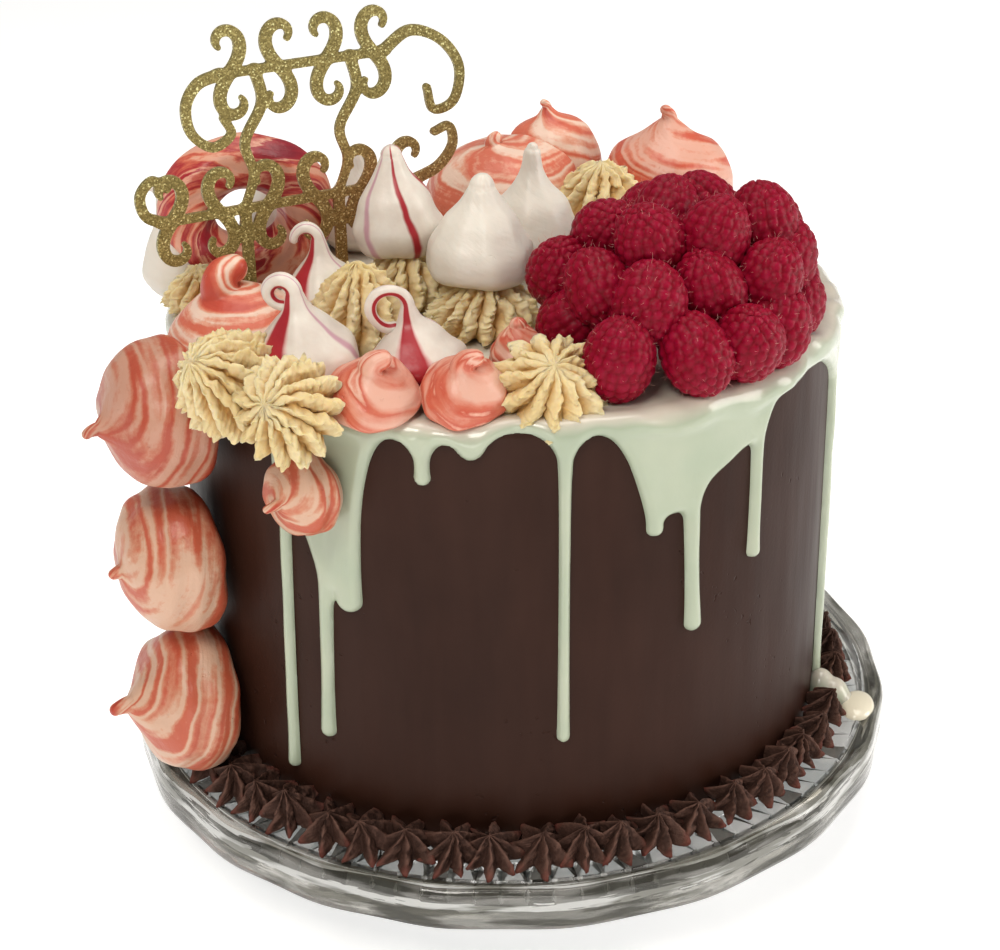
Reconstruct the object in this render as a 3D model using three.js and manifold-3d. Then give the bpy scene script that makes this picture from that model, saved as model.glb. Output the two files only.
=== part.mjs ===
// Drip cake on a pressed-glass cake stand. A chocolate cake under a pale drip icing carries meringues,
// buttercream rosettes, raspberries and a glitter scrollwork topper, inside a piped chocolate border.
// Millimetres and degrees, +Z up. The origin is the middle of the stand's foot, on the table, and the
// front of the cake faces -Y. An azimuth is measured from +X towards +Y.
import * as THREE from "three";
import { mergeVertices } from "three/addons/utils/BufferGeometryUtils.js";
import Module from "manifold-3d";

// Driving dimensions. Neighbours stand apart by the gap. A topping is cut back from its neighbours swelled
// by this many gaps across their whole width, as its slanted sides come closer than its ends.
const GAP = 0.3;
const SWELLING = 3.4;
// Facets that stand off their neighbours by less than this are merged.
const SLIVER = 0.3;

const FOOT_RADIUS = 52;
const FOOT_EDGE = 1.2;
const FOOT_WAIST_RADIUS = 40;
const FOOT_WAIST_HEIGHT = 16;
const FOOT_FLARE = 8;
const PLATE_TOP = 36;
const PLATE_UNDERSIDE = 27;
const PLATE_WELL_RADIUS = 112;
const PLATE_SHELF_RADIUS = 120.5;
const PLATE_EDGE_RADIUS = 125.2;
const PLATE_EDGE_BOTTOM = 24.5;
const PLATE_RIM_TOP = 36.6;
const SCALLOPS = 20;
const SCALLOP_DEPTH = 0.9;

const CAKE_RADIUS = 101.6;
const CAKE_TOP = 171;
const CAKE_EDGE_ROUNDING = 2.4;
const CAKE_SEGMENTS = 48;

const ICING_TOP = 173;
const ICING_SKIRT_THICKNESS = 1.3;
const HEM_HEIGHT = 168;
const HEM_WAVE = 2.5;
const HEM_WAVE_MIDDLE = -93;

// Where the icing runs down in a broad tongue: azimuth, how far it drops, half its spread.
const TONGUES = [
  { azimuth: -121, drop: 38, spread: 7.5 },
  { azimuth: -65, drop: 22, spread: 6.5 },
  { azimuth: -54, drop: 17, spread: 8 },
  { azimuth: -16, drop: 8, spread: 7 },
];

// The drips: where each one starts and ends, and its widths there.
const DRIPS = [
  { from: -127.8, to: -130.1, start: 152, end: 50, width: [5.5, 4.2] },
  { from: -120.3, to: -121.9, start: 140, end: 66, width: [6, 4.8] },
  { from: -114.8, to: -116.3, start: 166, end: 111, width: [13, 7.8] },
  { from: -103, to: -103, start: 170, end: 154.6, width: [6, 4] },
  { from: -95.4, to: -95.4, start: 170, end: 163.6, width: [6, 4] },
  { from: -81, to: -81.6, start: 168, end: 72, width: [9, 3.7] },
  { from: -67.2, to: -66.4, start: 156, end: 134.5, width: [9, 4.6] },
  { from: -60, to: -59, start: 152, end: 100.5, width: [9, 5.2] },
  { from: -46, to: -46, start: 164, end: 116.5, width: [7, 4.4] },
  { from: -13, to: -10.5, start: 164, end: 42, width: [8, 5] },
  { from: 21, to: 21.6, start: 167, end: 106, width: [8, 4.8] },
  { from: 47, to: 47.8, start: 167, end: 70, width: [9, 4.8] },
  { from: 66, to: 65.5, start: 167, end: 118, width: [8, 5] },
  { from: 84, to: 84.8, start: 167, end: 88, width: [9, 5] },
  { from: 122, to: 122.7, start: 167, end: 76, width: [8, 4.6] },
  { from: 141, to: 140.5, start: 167, end: 110, width: [8, 5] },
  { from: 160, to: 160.6, start: 167, end: 92, width: [8, 4.6] },
];
const DRIP_FLARE = 7;
const DRIP_FLARE_SPREAD = 3;

// Where the long drip on the right ends: domes of icing against the wall and out on the plate. Each has the
// place of its middle, its reach outwards, along the wall and upwards.
const POOLS = [
  { azimuth: -12, distance: 105.6, height: 7, reach: [3.9, 4.2, 4.4] },
  { azimuth: -12, distance: 108.4, height: 3.5, reach: [4.4, 5, 4] },
  { azimuth: -13.5, distance: 112.6, height: 0, reach: [3.4, 4.6, 3.4] },
  { azimuth: -14.2, distance: 115.6, height: 0, reach: [4.6, 8.2, 2.6] },
];

// The border lies against the wall, and reaches further out at the front and on the left.
const BORDER_STARS = 54;
const BORDER_INNER = 102;
const BORDER_OUTER = 118.6;
const BORDER_SHIFT = { x: -1.8, y: -2.6 };
const BORDER_STAR = { ridges: 6, valley: 0.62, foot: 1.4, peak: 10, inset: 0.3 };

const TOPPER_MIDDLE = { x: -55, y: -6 };
const TOPPER_YAW = 27;
const TOPPER_THICKNESS = 1.5;
const TOPPER_STROKE = 3.4;

// The topper's scrollwork, in its own plane: bars that carry double scrolls, flourishes as lists of
// [across, height] points, and where the legs stand.
const SCROLL_SLANT = 52;
const SCROLL_WINDING = 4.5;
const SCROLL_ROWS = [
  { from: -25, to: 20, height: 247, size: 22, scrolls: 4 },
  { from: -46, to: 29, height: 206, size: 22, scrolls: 6 },
];
const FLOURISHES = [
  [[-28, 247], [-35, 245], [-39, 239], [-38, 231], [-32, 226], [-26, 229], [-28, 234]],
  [[-49, 206], [-54, 209], [-55, 215], [-51, 219], [-47, 216]],
  [[23, 247], [32, 252], [42, 248], [48, 239], [46, 229], [39, 227], [37, 234]],
  [[32, 206], [40, 209], [45, 215], [44, 221], [39, 220]],
  [[-17.5, 247], [-16, 237], [-22, 226], [-20, 216], [-23.5, 206]],
  [[12.5, 247], [14, 237], [8, 226], [10, 216], [6.5, 206]],
];
const LEGS = [-23.5, 6.5];

// How the width of each kind of meringue falls from its base to its tip, as [height, width] shares.
const BELL = [[0, 0.86], [0.14, 1], [0.4, 0.93], [0.66, 0.66], [0.86, 0.38], [1, 0.24]];
const ONION = [[0, 0.82], [0.14, 1], [0.36, 0.95], [0.6, 0.6], [0.8, 0.28], [1, 0.15]];
const PEAR = [[0, 0.82], [0.12, 1], [0.34, 0.98], [0.54, 0.8], [0.7, 0.46], [0.84, 0.25], [1, 0.17]];
const SWIRL = [[0, 0.88], [0.16, 1], [0.42, 0.97], [0.66, 0.82], [0.84, 0.44], [1, 0.13]];
const PUFF = [[0, 0.88], [0.16, 1], [0.42, 0.98], [0.66, 0.87], [0.82, 0.6], [0.9, 0.28], [1, 0.1]];
const ROUND = [[0, 0.88], [0.2, 1], [0.5, 0.96], [0.76, 0.78], [0.92, 0.5], [0.98, 0.28], [1, 0.12]];
const DOME = [[0, 0.9], [0.18, 1], [0.5, 0.9], [0.78, 0.62], [1, 0.3]];

// The meringues: middle of the base, width, length, shape, lean of the axis, and the tip's hook.
const MERINGUES = [
  {
    name: "meringue_side_upper", at: [-89.5, -57, 161], width: 42, length: 30, shape: PUFF,
    lean: { azimuth: -147, angle: 90 }, hook: { azimuth: 180, angle: 60, radius: 3 }, colour: "coral",
  },
  {
    name: "meringue_side_middle", at: [-91.5, -50.7, 110], width: 45, length: 27, shape: ROUND,
    lean: { azimuth: -151, angle: 90 }, hook: { azimuth: 170, angle: 40, radius: 2 }, colour: "coral",
  },
  {
    name: "meringue_side_lower", at: [-91.5, -53, 61], width: 46, length: 29, shape: SWIRL,
    lean: { azimuth: -150, angle: 80 }, hook: { azimuth: 180, angle: 40, radius: 6 }, colour: "coral",
  },
  {
    name: "meringue_side_small", at: [-53.1, -90.2, 150], width: 24, length: 15, shape: SWIRL,
    lean: { azimuth: -126, angle: 86 }, hook: { azimuth: 180, angle: 50, radius: 4 }, colour: "coral",
  },
  {
    name: "meringue_swirl_left", at: [-78, -40, 173.3], width: 40, length: 17, shape: DOME,
    lean: { azimuth: 200, angle: 12 }, hook: { azimuth: 20, angle: 90, radius: 6 }, colour: "coral",
  },
  {
    name: "meringue_swirl_back", at: [1, 72, 173.3], width: 52, length: 25, shape: ROUND,
    lean: { azimuth: 200, angle: 8 }, hook: { azimuth: 20, angle: 60, radius: 2 }, colour: "coral",
  },
  {
    name: "meringue_swirl_behind", at: [19, 88.5, 173.3], width: 33, length: 32, shape: PUFF,
    lean: { azimuth: 180, angle: 5 }, hook: { azimuth: 180, angle: 60, radius: 2 }, colour: "coral",
  },
  {
    name: "meringue_swirl_right", at: [57, 77, 173.3], width: 43, length: 30, shape: SWIRL,
    lean: { azimuth: 0, angle: 0 }, hook: { azimuth: 200, angle: 40, radius: 5 }, colour: "coral",
  },
  {
    name: "kiss_white_tall", at: [-7, -27, 187], width: 31.5, length: 28, shape: BELL,
    lean: { azimuth: 0, angle: 3 }, hook: { azimuth: 0, angle: 0, radius: 6 }, colour: "white",
  },
  {
    name: "kiss_white_back", at: [9.5, 18, 175], width: 28, length: 36, shape: PEAR,
    lean: { azimuth: 90, angle: 0 }, hook: { azimuth: 0, angle: 10, radius: 5 }, colour: "white",
  },
  {
    name: "kiss_white_edge", at: [-100, 5, 173.3], width: 22, length: 30, shape: ONION,
    lean: { azimuth: 180, angle: 8 }, hook: { azimuth: 180, angle: 80, radius: 4 }, colour: "white",
  },
  {
    name: "kiss_white_in_ring", at: [-71, 44, 173.3], width: 30, length: 28, shape: BELL,
    lean: { azimuth: 180, angle: 0 }, hook: { azimuth: 180, angle: 20, radius: 5 }, colour: "white",
  },
  {
    name: "kiss_white_behind", at: [-45, 45, 173.3], width: 30, length: 28, shape: BELL,
    lean: { azimuth: 0, angle: 0 }, hook: { azimuth: 0, angle: 20, radius: 5 }, colour: "white",
  },
  {
    name: "kiss_red_front", at: [-55, -73, 175], width: 31, length: 26, shape: ONION,
    lean: { azimuth: 180, angle: 4 }, hook: { azimuth: 175, angle: 270, radius: 3.7 }, colour: "red",
  },
  {
    name: "kiss_red_middle", at: [-52, -30, 176], width: 28, length: 25, shape: ONION,
    lean: { azimuth: 180, angle: 4 }, hook: { azimuth: 180, angle: 170, radius: 3.4 }, colour: "red",
  },
  {
    name: "kiss_red_loop", at: [-24, -72, 175], width: 27, length: 21, shape: ONION,
    lean: { azimuth: 180, angle: 6 }, hook: { azimuth: 185, angle: 280, radius: 5.2 }, colour: "red",
  },
  {
    name: "kiss_red_tall", at: [-31, -9, 190], width: 27, length: 29, shape: BELL,
    lean: { azimuth: 180, angle: 3 }, hook: { azimuth: 0, angle: 0, radius: 5 }, colour: "red",
  },
  {
    name: "meringue_bead_left", at: [-36, -90, 175], width: 26, length: 12, shape: DOME,
    lean: { azimuth: -80, angle: 20 }, hook: { azimuth: 0, angle: 80, radius: 4 }, colour: "coral",
  },
  {
    name: "meringue_bead_right", at: [-11, -90, 175], width: 24.5, length: 12, shape: DOME,
    lean: { azimuth: -90, angle: 20 }, hook: { azimuth: 0, angle: 90, radius: 4 }, colour: "coral",
  },
  {
    name: "meringue_bead_small", at: [4, -64, 173.3], width: 17, length: 12, shape: DOME,
    lean: { azimuth: 0, angle: 0 }, hook: { azimuth: 0, angle: 0, radius: 5 }, colour: "coral",
  },
];
const MERINGUE_SIDES = 8;
const RIDGE_DEPTH = 0.05;
const RIDGE_TWIST = { coral: 100, red: 35, white: 20 };

// A ring-shaped meringue that stands on its edge.
const RING = { at: [-79, 8, 196.8], yaw: 8, lean: 12, halfWidth: 27, halfHeight: 24, tube: 8.6 };

// The buttercream rosettes: middle of the base, width, length, number of ridges, and lean of the axis.
const ROSETTES = [
  { name: "rosette_left_large", at: [-71.5, -79, 174], width: 32, length: 24, petals: 10, lean: [-130, 50] },
  { name: "rosette_front_left", at: [-56, -95, 175], width: 31, length: 19, petals: 10, lean: [-112, 62] },
  { name: "rosette_middle_left", at: [-42, -44, 173.3], width: 29, length: 25, petals: 9, lean: [0, 0] },
  { name: "rosette_under_tall", at: [-6, -32, 173.3], width: 34, length: 15, petals: 10, lean: [0, 0] },
  { name: "rosette_sunflower", at: [12, -86, 175.5], width: 33, length: 13, petals: 12, lean: [-80, 32] },
  { name: "rosette_back", at: [33, 56, 173.3], width: 36, length: 21, petals: 10, lean: [0, 0] },
  { name: "rosette_under_red", at: [-30, -12, 173.3], width: 30, length: 18, petals: 9, lean: [0, 0] },
  { name: "rosette_far_left", at: [-92, -12, 173.3], width: 24, length: 13, petals: 9, lean: [0, 0] },
];
const PETAL_DEPTH = 0.3;

// The raspberries' middles, in the layers in which they are heaped.
const RASPBERRY_WIDTH = 19.5;
const RASPBERRY_LENGTH = 24;
// Every raspberry is turned on from the one before it and leans by its own angle, in degrees.
const RASPBERRY_LEAN = { turn: 137.5, least: 10, step: 31, spread: 40 };
const RASPBERRY_SIDES = 7;
const RASPBERRY_LAYERS = [
  [
    [31, -84, 184], [52, -81, 184], [67, -74, 184], [76, -62, 184], [82.5, -42, 184],
    [20, -58, 184], [84, -22, 184], [76, 0, 184], [60, 13, 184], [42, 14, 184], [30, -14, 184],
  ],
  [
    [40, -74, 196], [57, -64, 196], [74, -57, 196], [27, -62, 196], [17, -45, 194.5],
    [80, -41, 196], [79, -12, 197.5], [62, 0, 196], [44, -8, 196.5],
  ],
  [
    [41, -57, 207.5], [59, -54, 207.5], [74, -40, 206.5], [30, -41, 204.5], [48, -25, 204], [60, -14, 202.5],
  ],
];

const rad = THREE.MathUtils.degToRad;
const lerp = THREE.MathUtils.lerp;

// The point at an azimuth and a distance from the cake's axis.
function around(distance, azimuth, z) {
  return new THREE.Vector3(distance * Math.cos(rad(azimuth)), distance * Math.sin(rad(azimuth)), z);
}

// The difference of two azimuths, between -180 and 180 degrees.
function turn(a, b) {
  return ((((a - b) % 360) + 540) % 360) - 180;
}

// ---- Solids: three.js geometry in, joined and cut by manifold-3d, and back to three.js ----

const wasm = await Module();
wasm.setup();

// A closed geometry as a solid that can be joined and cut.
function solidOf(geometry) {
  const bare = geometry.clone();
  bare.deleteAttribute("normal");
  bare.deleteAttribute("uv");
  const merged = mergeVertices(bare, 1e-4);
  const corners = merged.index.array;
  const triVerts = [];
  for (let i = 0; i < corners.length; i += 3) {
    const [a, b, c] = corners.slice(i, i + 3);
    if (a !== b && b !== c && c !== a) triVerts.push(a, b, c);
  }
  return new wasm.Manifold(
    new wasm.Mesh({
      numProp: 3,
      vertProperties: merged.attributes.position.array,
      triVerts: new Uint32Array(triVerts),
    }),
  );
}

function geometryOf(solid) {
  const mesh = solid.getMesh();
  const geometry = new THREE.BufferGeometry();
  geometry.setAttribute("position", new THREE.BufferAttribute(new Float32Array(mesh.vertProperties), 3));
  geometry.setIndex([...mesh.triVerts]);
  const faceted = geometry.toNonIndexed();
  faceted.computeVertexNormals();
  return faceted;
}

function joined(solids) {
  return solids.reduce((whole, solid) => whole.add(solid));
}

// The largest of the bodies that a cut leaves.
function largestBody(solid) {
  return solid.decompose().reduce((a, b) => (a.volume() > b.volume() ? a : b));
}

// A solid swelled on every side by a little more than the gap, to cut its neighbours with.
function swelled(solid) {
  const geometry = geometryOf(solid);
  geometry.computeBoundingBox();
  const middle = geometry.boundingBox.getCenter(new THREE.Vector3());
  const size = geometry.boundingBox.getSize(new THREE.Vector3());
  const growth = ["x", "y", "z"].map((side) => 1 + (SWELLING * GAP) / size[side]);
  geometry.translate(-middle.x, -middle.y, -middle.z);
  geometry.scale(...growth);
  geometry.translate(middle.x, middle.y, middle.z);
  return solidOf(geometry).add(solid);
}

// A closed body from rings of points that run anticlockwise seen from the end of the stack. Each ring
// is joined to the next, and the first and last are filled round the points start and end.
function loft(start, rings, end) {
  const count = rings[0].length;
  const points = [start, ...rings.flat(), end];
  const last = points.length - 1;
  const at = (ring, k) => 1 + ring * count + (k % count);
  const triangles = [];
  for (let k = 0; k < count; k++) {
    triangles.push(0, at(0, k + 1), at(0, k));
    for (let ring = 1; ring < rings.length; ring++) {
      triangles.push(at(ring - 1, k), at(ring - 1, k + 1), at(ring, k + 1));
      triangles.push(at(ring - 1, k), at(ring, k + 1), at(ring, k));
    }
    triangles.push(last, at(rings.length - 1, k), at(rings.length - 1, k + 1));
  }
  const geometry = new THREE.BufferGeometry().setFromPoints(points);
  geometry.setIndex(triangles);
  return geometry;
}

// A profile of [radius, z] points, from the bottom to the top of the axis, turned round the axis.
function turned(profile, segments) {
  const points = profile.map(([radius, z]) => new THREE.Vector2(radius, z));
  return new THREE.LatheGeometry(points, segments).rotateX(Math.PI / 2);
}

// ---- Glass stand: a foot, a plate with a groove and a raised scalloped rim ----

function standSolid() {
  const edge = PLATE_EDGE_RADIUS;
  const profile = [
    [0, 0],
    [FOOT_RADIUS - FOOT_EDGE, 0],
    [FOOT_RADIUS, FOOT_EDGE],
    [FOOT_RADIUS - FOOT_FLARE / 2, FOOT_FLARE / 2 + FOOT_EDGE],
    [FOOT_WAIST_RADIUS, FOOT_WAIST_HEIGHT],
    [FOOT_WAIST_RADIUS + FOOT_FLARE, PLATE_UNDERSIDE - 3],
    [PLATE_WELL_RADIUS, PLATE_UNDERSIDE],
    [edge - 3, PLATE_EDGE_BOTTOM - 2],
    [edge, PLATE_EDGE_BOTTOM],
    [edge, PLATE_RIM_TOP - 4],
    [edge - 1.6, PLATE_RIM_TOP - 0.6],
    [edge - 3, PLATE_RIM_TOP],
    [PLATE_SHELF_RADIUS, PLATE_TOP],
    [0, PLATE_TOP],
  ];
  const geometry = turned(profile, SCALLOPS * 3);
  const place = geometry.getAttribute("position");
  for (let i = 0; i < place.count; i++) {
    const radius = Math.hypot(place.getX(i), place.getY(i));
    if (radius < edge - 3.5) continue;
    const lobe = Math.atan2(place.getY(i), place.getX(i)) * SCALLOPS;
    const scale = 1 - (SCALLOP_DEPTH * (0.5 + 0.5 * Math.cos(lobe))) / edge;
    place.setX(i, place.getX(i) * scale);
    place.setY(i, place.getY(i) * scale);
  }
  return solidOf(geometry);
}

// ---- Cake: one uncut round, its upper edge rounded. It can be made larger by a gap, as a cutter ----

function cakeSolid(grow) {
  const radius = CAKE_RADIUS + grow;
  const bottom = PLATE_TOP + GAP - grow;
  const top = CAKE_TOP + grow;
  const profile = [
    [0, bottom],
    [radius, bottom],
    [radius, top - CAKE_EDGE_ROUNDING],
    [radius - 0.3 * CAKE_EDGE_ROUNDING, top - 0.3 * CAKE_EDGE_ROUNDING],
    [radius - CAKE_EDGE_ROUNDING, top],
    [0, top],
  ];
  return solidOf(turned(profile, CAKE_SEGMENTS));
}

// ---- Icing: a poured top, a skirt with a wavy hem, and drips down the side ----

// The height of the skirt's lower edge, between the drips.
function hemHeight(azimuth) {
  let height = HEM_HEIGHT + HEM_WAVE * Math.cos(2 * rad(azimuth - HEM_WAVE_MIDDLE));
  for (const tongue of TONGUES) {
    height -= tongue.drop * Math.exp(-((turn(azimuth, tongue.azimuth) / tongue.spread) ** 2));
  }
  for (const drip of DRIPS) {
    height -= DRIP_FLARE * Math.exp(-((turn(azimuth, drip.from) / DRIP_FLARE_SPREAD) ** 2));
  }
  return height;
}

function skirtGeometry(grow) {
  const inner = CAKE_RADIUS + GAP - grow;
  const outer = CAKE_RADIUS + GAP + ICING_SKIRT_THICKNESS + grow;
  const columns = 64;
  const ringAt = (radius, height) =>
    Array.from({ length: columns }, (_, k) => {
      const azimuth = (360 * k) / columns;
      return around(radius, azimuth, height(azimuth));
    });
  const underside = CAKE_TOP + GAP - grow;
  const top = ICING_TOP + grow;
  const rings = [
    ringAt(inner, () => underside),
    ringAt(inner, (azimuth) => hemHeight(azimuth) - grow),
    ringAt(outer, (azimuth) => hemHeight(azimuth) + 1 - grow),
    ringAt(outer, () => top - 1.6),
    ringAt(outer - 2, () => top),
  ];
  return loft(new THREE.Vector3(0, 0, underside), rings, new THREE.Vector3(0, 0, top));
}

// One drip: flat against the cake, rounded outwards, with a bead at its lower end.
function dripGeometry(drip, grow) {
  const [startWidth, endWidth] = drip.width;
  const length = drip.start - drip.end;
  const levels = [
    { above: 0.15 * endWidth, width: 0.62 * endWidth },
    { above: 0.6 * endWidth, width: 1.14 * endWidth },
    { above: 1.7 * endWidth, width: 0.96 * endWidth },
    { above: 0.8 * length, width: lerp(endWidth, startWidth, 0.15) },
    { above: length, width: startWidth },
  ].filter((level, i, all) => i === 0 || level.above > all[i - 1].above + 0.5);
  const sides = 4;
  const wall = CAKE_RADIUS + GAP + 0.25 - grow;
  const rings = levels.map(({ above, width }) => {
    const azimuth = lerp(drip.to, drip.from, above / length);
    const thickness = Math.min(0.5 * width, 2.6) + 2 * grow;
    return Array.from({ length: sides + 1 }, (_, k) => {
      const angle = (Math.PI * k) / sides;
      const across = -(0.5 * width + grow) * Math.cos(angle);
      const out = thickness * Math.sin(angle);
      return around(wall + out, azimuth + THREE.MathUtils.radToDeg(across / wall), drip.end + above);
    });
  });
  const start = around(wall + 0.8, drip.to, drip.end - grow);
  const end = around(wall + 0.4, drip.from, drip.start + 0.2);
  return loft(start, rings, end);
}

function poolsSolid(grow) {
  const floor = PLATE_TOP + GAP;
  const domes = POOLS.map(({ azimuth, distance, height, reach }) => {
    const middle = around(distance, azimuth, floor + height);
    const geometry = new THREE.SphereGeometry(1, 8, 5);
    geometry.scale(...reach.map((radius) => radius + grow));
    geometry.rotateZ(rad(azimuth));
    geometry.translate(middle.x, middle.y, middle.z);
    return solidOf(geometry);
  });
  const below = new THREE.BoxGeometry(300, 300, 20).translate(0, 0, floor - grow - 10);
  return joined(domes).subtract(solidOf(below));
}

function icingSolid(grow) {
  const drips = DRIPS.map((drip) => solidOf(dripGeometry(drip, grow)));
  return joined([solidOf(skirtGeometry(grow)), ...drips, poolsSolid(grow)]);
}

// ---- Border: piped stars round the foot of the cake, run together at their bases ----

function borderSolid() {
  return joined(Array.from({ length: BORDER_STARS }, (_, k) => starSolid((360 * k) / BORDER_STARS)));
}

// A star stands on the plate beside the cake, its peak drawn a little towards the wall.
function starSolid(azimuth) {
  const { ridges, valley, foot, peak, inset } = BORDER_STAR;
  const shift = around(1, azimuth, 0).dot(new THREE.Vector3(BORDER_SHIFT.x, BORDER_SHIFT.y, 0));
  const size = (BORDER_OUTER + shift - BORDER_INNER) / 2;
  const ring = Array.from({ length: 2 * ridges }, (_, k) => {
    const angle = (Math.PI * k) / ridges;
    const radius = k % 2 ? size : size * valley;
    return new THREE.Vector3(radius * Math.cos(angle), radius * Math.sin(angle), foot);
  });
  const star = loft(new THREE.Vector3(0, 0, 0), [ring], new THREE.Vector3(-inset * size, 0, peak));
  star.rotateZ(rad(azimuth));
  const middle = around(BORDER_INNER + size, azimuth, PLATE_TOP + GAP);
  star.translate(middle.x, middle.y, middle.z);
  return solidOf(star);
}

// ---- Topper: two rows of scrollwork cut from glitter card, on two legs ----

// A flat stroke along a path of [across, height] points, in the topper's own plane. The width at each
// point is given by a function of the share of the path that lies behind it.
function strokeSolid(path, widthAt, grow) {
  const halfThickness = TOPPER_THICKNESS / 2 + grow;
  const last = path.length - 1;
  const ringAt = (i) => {
    const [ax, az] = path[Math.max(i - 1, 0)];
    const [bx, bz] = path[Math.min(i + 1, last)];
    const reach = Math.hypot(bx - ax, bz - az);
    const half = widthAt(i / last) / 2 + grow;
    const sideX = (half * (bz - az)) / reach;
    const sideZ = (-half * (bx - ax)) / reach;
    const corner = (side, depth) =>
      new THREE.Vector3(path[i][0] + side * sideX, depth * halfThickness, path[i][1] + side * sideZ);
    return [corner(1, 1), corner(-1, 1), corner(-1, -1), corner(1, -1)];
  };
  const rings = path.map((_, i) => ringAt(i));
  const middle = (i) => new THREE.Vector3(path[i][0], 0, path[i][1]);
  return solidOf(loft(middle(0), rings, middle(last)));
}

// A double scroll: its curvature grows evenly from its middle to both ends, where it winds in.
function doubleScroll([x, z], size, mirror) {
  const steps = 12;
  const fine = 8;
  const points = [];
  let across = 0;
  let up = 0;
  let before = -1;
  for (let i = 0; i <= steps * fine; i++) {
    const share = (2 * i) / (steps * fine) - 1;
    const along = Math.sign(share) * Math.sqrt(Math.abs(share));
    const middle = (along + before) / 2;
    const heading = rad(SCROLL_SLANT) + SCROLL_WINDING * middle * middle;
    across += (along - before) * Math.cos(heading);
    up += (along - before) * Math.sin(heading);
    before = along;
    if (i % fine === 0) points.push([across, up]);
  }
  const half = points[steps / 2];
  return points.map(([a, b]) => [x + mirror * size * (a - half[0]), z + size * (b - half[1])]);
}

function curvePath(points, steps) {
  const curve = new THREE.CatmullRomCurve3(points.map(([x, z]) => new THREE.Vector3(x, 0, z)));
  return curve.getPoints(steps).map((point) => [point.x, point.z]);
}

function topperSolid(grow) {
  const strokes = [];
  const full = () => TOPPER_STROKE;
  const swelling = (share) => lerp(0.45, 1.1, Math.sin(Math.PI * share)) * TOPPER_STROKE;
  for (const { from, to, height, size, scrolls } of SCROLL_ROWS) {
    strokes.push(strokeSolid([[from - 4, height], [to + 4, height]], () => 0.8 * TOPPER_STROKE, grow));
    for (let k = 0; k < scrolls; k++) {
      const middle = [lerp(from, to, k / (scrolls - 1)), height];
      strokes.push(strokeSolid(doubleScroll(middle, size, k % 2 ? -1 : 1), swelling, grow));
    }
  }
  for (const points of FLOURISHES) {
    strokes.push(strokeSolid(curvePath(points, 7), (share) => TOPPER_STROKE * (1 - 0.3 * share), grow));
  }
  const [, lowerRow] = SCROLL_ROWS;
  for (const x of LEGS) {
    strokes.push(strokeSolid([[x, ICING_TOP + GAP - grow], [x, lowerRow.height]], full, grow));
  }
  const whole = geometryOf(joined(strokes));
  whole.rotateZ(rad(TOPPER_YAW));
  whole.translate(TOPPER_MIDDLE.x, TOPPER_MIDDLE.y, 0);
  return solidOf(whole);
}

// ---- Meringues: a body that narrows to a tip, ridges that wind up it, and a hooked point ----

function meringueGeometry({ width, length, shape, hook, colour }) {
  const half = width / 2;
  const tipShare = shape[shape.length - 1][1];
  const hookSteps = Math.ceil(hook.angle / 55);
  const levels = shape.map(([height, share]) => ({ along: height * length, share }));
  for (let k = 1; k <= hookSteps; k++) {
    const along = length + (rad(hook.angle) * hook.radius * k) / hookSteps;
    levels.push({ along, share: tipShare * (1 - (0.6 * k) / hookSteps) });
  }
  const towards = new THREE.Vector3(Math.cos(rad(hook.azimuth)), Math.sin(rad(hook.azimuth)), 0);
  const hinge = new THREE.Vector3(-towards.y, towards.x, 0);
  const spine = (along) => {
    const bend = Math.max(0, along - length) / hook.radius;
    const point = towards.clone().multiplyScalar(hook.radius * (1 - Math.cos(bend)));
    point.z = Math.min(along, length) + hook.radius * Math.sin(bend);
    return { point, bend };
  };
  const rings = levels.map(({ along, share }) => {
    const { point, bend } = spine(along);
    return Array.from({ length: MERINGUE_SIDES }, (_, k) => {
      const angle = (2 * Math.PI * k) / MERINGUE_SIDES + rad(RIDGE_TWIST[colour]) * (along / length);
      const ridge = 1 + (k % 2 ? -RIDGE_DEPTH : RIDGE_DEPTH);
      const radius = half * share * ridge;
      return new THREE.Vector3(radius * Math.cos(angle), radius * Math.sin(angle), 0)
        .applyAxisAngle(hinge, bend)
        .add(point);
    });
  });
  const last = levels[levels.length - 1];
  const { point, bend } = spine(last.along);
  const nose = new THREE.Vector3(0, 0, 0.8 * half * last.share).applyAxisAngle(hinge, bend);
  return loft(new THREE.Vector3(0, 0, 0), rings, point.clone().add(nose));
}

// The ring meringue: an oval hoop with ridges that run round it.
function ringGeometry({ halfWidth, halfHeight, tube }) {
  const steps = 20;
  const sides = 8;
  const points = [];
  const triangles = [];
  for (let i = 0; i < steps; i++) {
    const angle = (2 * Math.PI * i) / steps;
    for (let k = 0; k < sides; k++) {
      const thick = tube * (1 + RIDGE_DEPTH * (k % 2 ? -1 : 1));
      const out = thick * Math.cos((2 * Math.PI * k) / sides);
      const depth = 1.15 * thick * Math.sin((2 * Math.PI * k) / sides);
      const x = (halfWidth - tube + out) * Math.cos(angle);
      points.push(new THREE.Vector3(x, depth, (halfHeight - tube + out) * Math.sin(angle)));
      const here = i * sides + k;
      const beside = i * sides + ((k + 1) % sides);
      const ahead = (here + sides) % (steps * sides);
      const across = (beside + sides) % (steps * sides);
      triangles.push(here, beside, across, here, across, ahead);
    }
  }
  const geometry = new THREE.BufferGeometry().setFromPoints(points);
  geometry.setIndex(triangles);
  return geometry;
}

// ---- Rosettes: a piped star whose ridges rise to a ragged middle ----

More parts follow.
